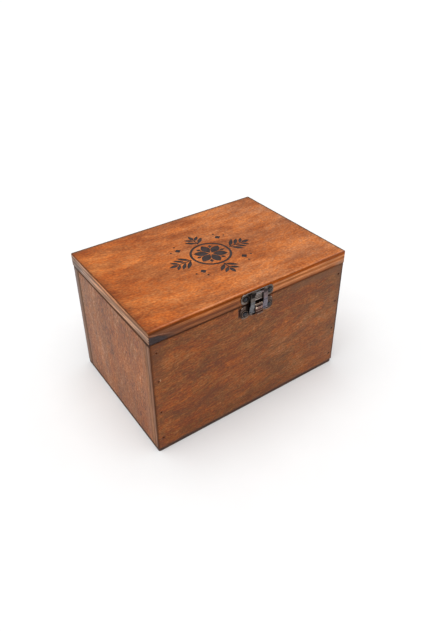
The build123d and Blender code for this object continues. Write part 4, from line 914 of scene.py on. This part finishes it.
def shade_and_dirt_strike(G):
    # painted shade, with some dirt, round each tack, behind the link between its arms and in the hook's ribs
    r = around(G, 11.1, 110.6)
    m = G.mul(band(G, r, 2.15, 0.45, 0.3), 0.9)
    behind = G.mul(G.mul(G.ease(G.size(G.x), 5.0, 7.8, 1.0, 0.0), G.ease(G.x, 2.4, 3.4, 1.0, 0.45)), G.mul(G.ease(out(G), 1.46, 1.7, 1.0, 0.0), G.ease(G.z, 111.6, 112.6, 1.0, 0.1)))
    ribs = G.mul(G.ease(out(G), 2.2, 2.42, 1.0, 0.0), G.mul(G.ease(out(G), 1.9, 2.1), G.ease(G.ny, -0.9, -0.5, 1.0, 0.3)))
    return G.most(G.most(m, behind), G.mul(ribs, 0.7))


def painted_highlight_strike(G):
    # painted highlights on the ridges of the hook, its lip, its foot and the upper rim
    hook = G.mul(G.ease(out(G), 2.38, 2.48), G.ease(G.z, 109.0, 111.6, 0.35, 1.0))
    foot = G.mul(G.ease(out(G), 1.55, 1.8), band(G, G.z, 106.6, 0.45, 0.3))
    rimline = G.mul(G.ease(G.nz, 0.2, 0.7), G.ease(G.z, 113.6, 114.0))
    return G.most(G.mul(hook, 0.38), G.most(G.mul(foot, 0.7), G.mul(rimline, 0.5)))


def tone_link(G):
    return G.ease(G.z, 106.0, 107.4, 0.02, 0.0)


def tint_link(G, col):
    upper = G.ease(G.z, 106.2, 107.6)
    col = G.mix(upper, col, G.mix(1.0, col, (0.98, 0.82, 0.70, 1), "MULTIPLY"))
    return G.mix(G.ease(G.x, 0.0, 2.0), col, G.mix(1.0, col, (1.12, 0.98, 1.10, 1), "MULTIPLY"))


def painted_shade_link(G):
    # painted shade at the bend and on the arms' inner edges, and painted shadow at the arms' upper ends and in the
    # corner beside the hook
    bend = G.mul(band(G, G.z, 105.4, 0.40, 0.25), 0.45)
    back_side = G.ease(G.ny, 0.2, 0.7, 0.0, 0.7)
    ends = G.mul(G.ease(G.z, 110.4, 112.8, 0.0, 0.75), G.ease(G.size(G.x), 3.3, 4.4))
    corner = G.mul(G.mul(G.ease(G.z, 109.8, 111.2), G.ease(G.x, -8.2, -6.8, 0.5, 1.0)), G.ease(G.x, -3.6, -2.6, 0.97, 0.0))
    ends = G.most(ends, corner)
    return G.most(G.most(bend, back_side), ends)


def painted_highlight_link(G):
    # painted highlight along the top of the cross bar
    bar = G.mul(G.ease(G.z, 112.4, 112.7), G.ease(G.nz, 0.35, 0.85))
    return G.mul(G.mul(bar, G.ease(G.size(G.add(G.x, 0.6)), 1.6, 3.2, 1.0, 0.0)), 0.75)


def painted_highlight_lever(G):
    # painted highlights on the barrel's crest, the curl of the thumb lip and a glint on its face
    crest = G.ease(G.z, 102.9, 103.3)
    lip = G.mul(G.ease(out(G), 4.3, 4.9), G.ease(G.z, 97.6, 96.6, 0.0, 0.20))
    glint = G.mul(band(G, G.x, -2.3, 0.7, 0.5), band(G, G.z, 100.8, 0.75, 0.45))
    curl = G.mul(band(G, G.z, 97.4, 0.25, 0.2), 0.22)
    return G.most(G.most(crest, lip), G.most(glint, curl))


def tint_lever(G, col):
    # redder and darker towards the thumb lip
    return G.mix(G.ease(G.z, 98.2, 99.6, 1.0, 0.0), col, G.mix(1.0, col, (0.62, 0.44, 0.40, 1), "MULTIPLY"))


def painted_shade_lever(G):
    # painted shade in the seam across it and in the crease above the thumb lip
    seam = band(G, G.z, 101.6, 0.35, 0.3)
    crease = G.mul(band(G, G.z, 98.2, 0.35, 0.3), 0.7)
    return G.most(G.mul(seam, 0.85), crease)


plate_base = metal("antique_plate_base", (0.044, 0.026, 0.020, 1), (0.130, 0.088, 0.070, 1), 0.36, 2.0,
                   (0.33, 0.24, 0.19, 1), amount=0.30, shade_and_dirt=shade_and_dirt_base, painted_highlight=painted_highlight_base)
plate_strike = metal("antique_plate_strike", (0.078, 0.058, 0.047, 1), (0.185, 0.148, 0.124, 1), 0.36, 5.0,
                     (0.46, 0.39, 0.36, 1), amount=0.32, shade_and_dirt=shade_and_dirt_strike, painted_highlight=painted_highlight_strike)
link_metal = metal("antique_link", (0.085, 0.085, 0.090, 1), (0.205, 0.205, 0.215, 1), 0.33, 7.0,
                   (0.40, 0.40, 0.41, 1), amount=0.35, tone_of=tone_link, tint_of=tint_link, shade_and_dirt=painted_shade_link, painted_highlight=painted_highlight_link)
bronze = metal("antique_bronze", (0.085, 0.072, 0.066, 1), (0.20, 0.175, 0.160, 1), 0.34, 2.0)
bronze_lever = metal("antique_bronze_lever", (0.13, 0.072, 0.062, 1), (0.30, 0.185, 0.160, 1), 0.30, 9.0, (0.70, 0.56, 0.42, 1),
                     tint_of=tint_lever, painted_highlight=painted_highlight_lever, shade_and_dirt=painted_shade_lever)
tacks = metal("dark_tacks", (0.022, 0.022, 0.025, 1), (0.070, 0.070, 0.076, 1), 0.28, 17.0, (0.20, 0.19, 0.19, 1), amount=0.35)
steel = metal("dull_steel", (0.034, 0.019, 0.013, 1), (0.10, 0.060, 0.044, 1), 0.50, 29.0, (0.22, 0.15, 0.11, 1))

METALS = {"latch_lever": bronze_lever, "latch_base_plate": plate_base, "latch_strike_plate": plate_strike, "latch_link": link_metal, "latch_base_nails": tacks, "latch_strike_nails": tacks,
          "hinge_lower_screws": tacks, "hinge_upper_screws": tacks,
          "front_nails": steel, "back_nails": steel, "bottom_nails": steel}
BOARDS = ("front_panel", "back_panel", "left_side_panel", "right_side_panel", "bottom_panel", "lid_panel")
for node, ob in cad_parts.items():
    if node in BOARDS:
        continue
    mat = METALS.get(node, bronze)
    if not ob.material_slots:
        ob.data.materials.append(mat)
    for s in ob.material_slots:
        s.material = mat

# ---------------------------------------------------------------------------
# floor, light and camera
# ---------------------------------------------------------------------------
bm = bmesh.new()
bmesh.ops.create_grid(bm, x_segments=8, y_segments=8, size=6.0)
me = bpy.data.meshes.new("floor")
bm.to_mesh(me)
bm.free()
floor = bpy.data.objects.new("floor", me)
floor.location.z = -0.02 * MM
bpy.context.scene.collection.objects.link(floor)
G = Graph("floor_paper")
grain = G.noise(G.vec(G.mul(G.x, 1 / 40.0), G.mul(G.y, 1 / 40.0), 0.0), 3, 0.5)
paper = G.shade(G.ramp(grain, [(0.3, (0.735, 0.735, 0.735, 1)), (0.7, (0.75, 0.75, 0.75, 1))]), 0.9, Specular_IOR_Level=0.1)
floor.data.materials.append(paper)

# a pale backdrop far behind, seen only by the camera
bm = bmesh.new()
bmesh.ops.create_uvsphere(bm, u_segments=48, v_segments=24, radius=5.6)
me = bpy.data.meshes.new("backdrop")
bm.to_mesh(me)
bm.free()
backdrop = bpy.data.objects.new("backdrop", me)
bpy.context.scene.collection.objects.link(backdrop)
G = Graph("backdrop_paper")
em = G.new("ShaderNodeEmission")
G.put(em.inputs["Color"], G.ramp(G.noise(G.vec(G.mul(G.x, 1 / 900.0), G.mul(G.y, 1 / 900.0), G.mul(G.z, 1 / 900.0)), 2, 0.5),
                                 [(0.3, (0.985, 0.985, 0.985, 1)), (0.7, (1.0, 1.0, 1.0, 1))]))
G.nt.links.new(em.outputs[0], G.out.inputs["Surface"])
backdrop.data.materials.append(G.mat)
for k in ("visible_diffuse", "visible_glossy", "visible_transmission", "visible_volume_scatter", "visible_shadow"):
    setattr(backdrop, k, False)

world = bpy.data.worlds.new("studio")
bpy.context.scene.world = world
world.use_nodes = True
nt = world.node_tree
nt.nodes.clear()
out = nt.nodes.new("ShaderNodeOutputWorld")
bg = nt.nodes.new("ShaderNodeBackground")
tc = nt.nodes.new("ShaderNodeTexCoord")
sep = nt.nodes.new("ShaderNodeSeparateXYZ")
ramp = nt.nodes.new("ShaderNodeValToRGB")
nt.links.new(tc.outputs["Generated"], sep.inputs[0])
nt.links.new(sep.outputs[2], ramp.inputs[0])
nt.links.new(ramp.outputs[0], bg.inputs[0])
nt.links.new(bg.outputs[0], out.inputs[0])
el = ramp.color_ramp.elements
el[0].position, el[0].color = 0.0, (0.23, 0.23, 0.235, 1)
el[1].position, el[1].color = 1.0, (1.0, 1.0, 1.0, 1)
e = el.new(0.25); e.color = (0.23, 0.23, 0.235, 1)
e = el.new(0.56); e.color = (0.30, 0.30, 0.305, 1)
e = el.new(0.8); e.color = (0.85, 0.85, 0.85, 1)
bg.inputs[1].default_value = 1.0

sun = bpy.data.lights.new("overhead", "SUN")
sun.energy = 2.55
sun.angle = math.radians(70)
so = bpy.data.objects.new("overhead", sun)
bpy.context.scene.collection.objects.link(so)
so.rotation_euler = Vector((-0.20, -0.10, 1.0)).to_track_quat("Z", "Y").to_euler()

AZ, EL, ROLL = -0.580434, 0.568213, -0.024892
back = Vector((math.sin(AZ) * math.cos(EL), -math.cos(AZ) * math.cos(EL), math.sin(EL)))
right = Vector((math.cos(AZ), math.sin(AZ), 0.0))
up = back.cross(right)
c, s = math.cos(ROLL), math.sin(ROLL)
cx, cy = c * right + s * up, -s * right + c * up
cam = bpy.data.cameras.new("camera")
co = bpy.data.objects.new("camera", cam)
bpy.context.scene.collection.objects.link(co)
m = Matrix.Identity(4)
for i in range(3):
    m[i][0], m[i][1], m[i][2] = cx[i], cy[i], back[i]
m.translation = Vector((-0.219465, -0.328061, 0.348291))
co.matrix_world = m
cam.sensor_width = 36.0
cam.lens = 568.76 * 36.0 / 631
cam.shift_x = (210.5 - 203.194) / 631
cam.shift_y = (271.857 - 315.5) / 631
cam.clip_start, cam.clip_end = 0.01, 50.0
bpy.context.scene.camera = co

bpy.context.scene.view_settings.view_transform = "Standard"
bpy.context.scene.view_settings.look = "None"
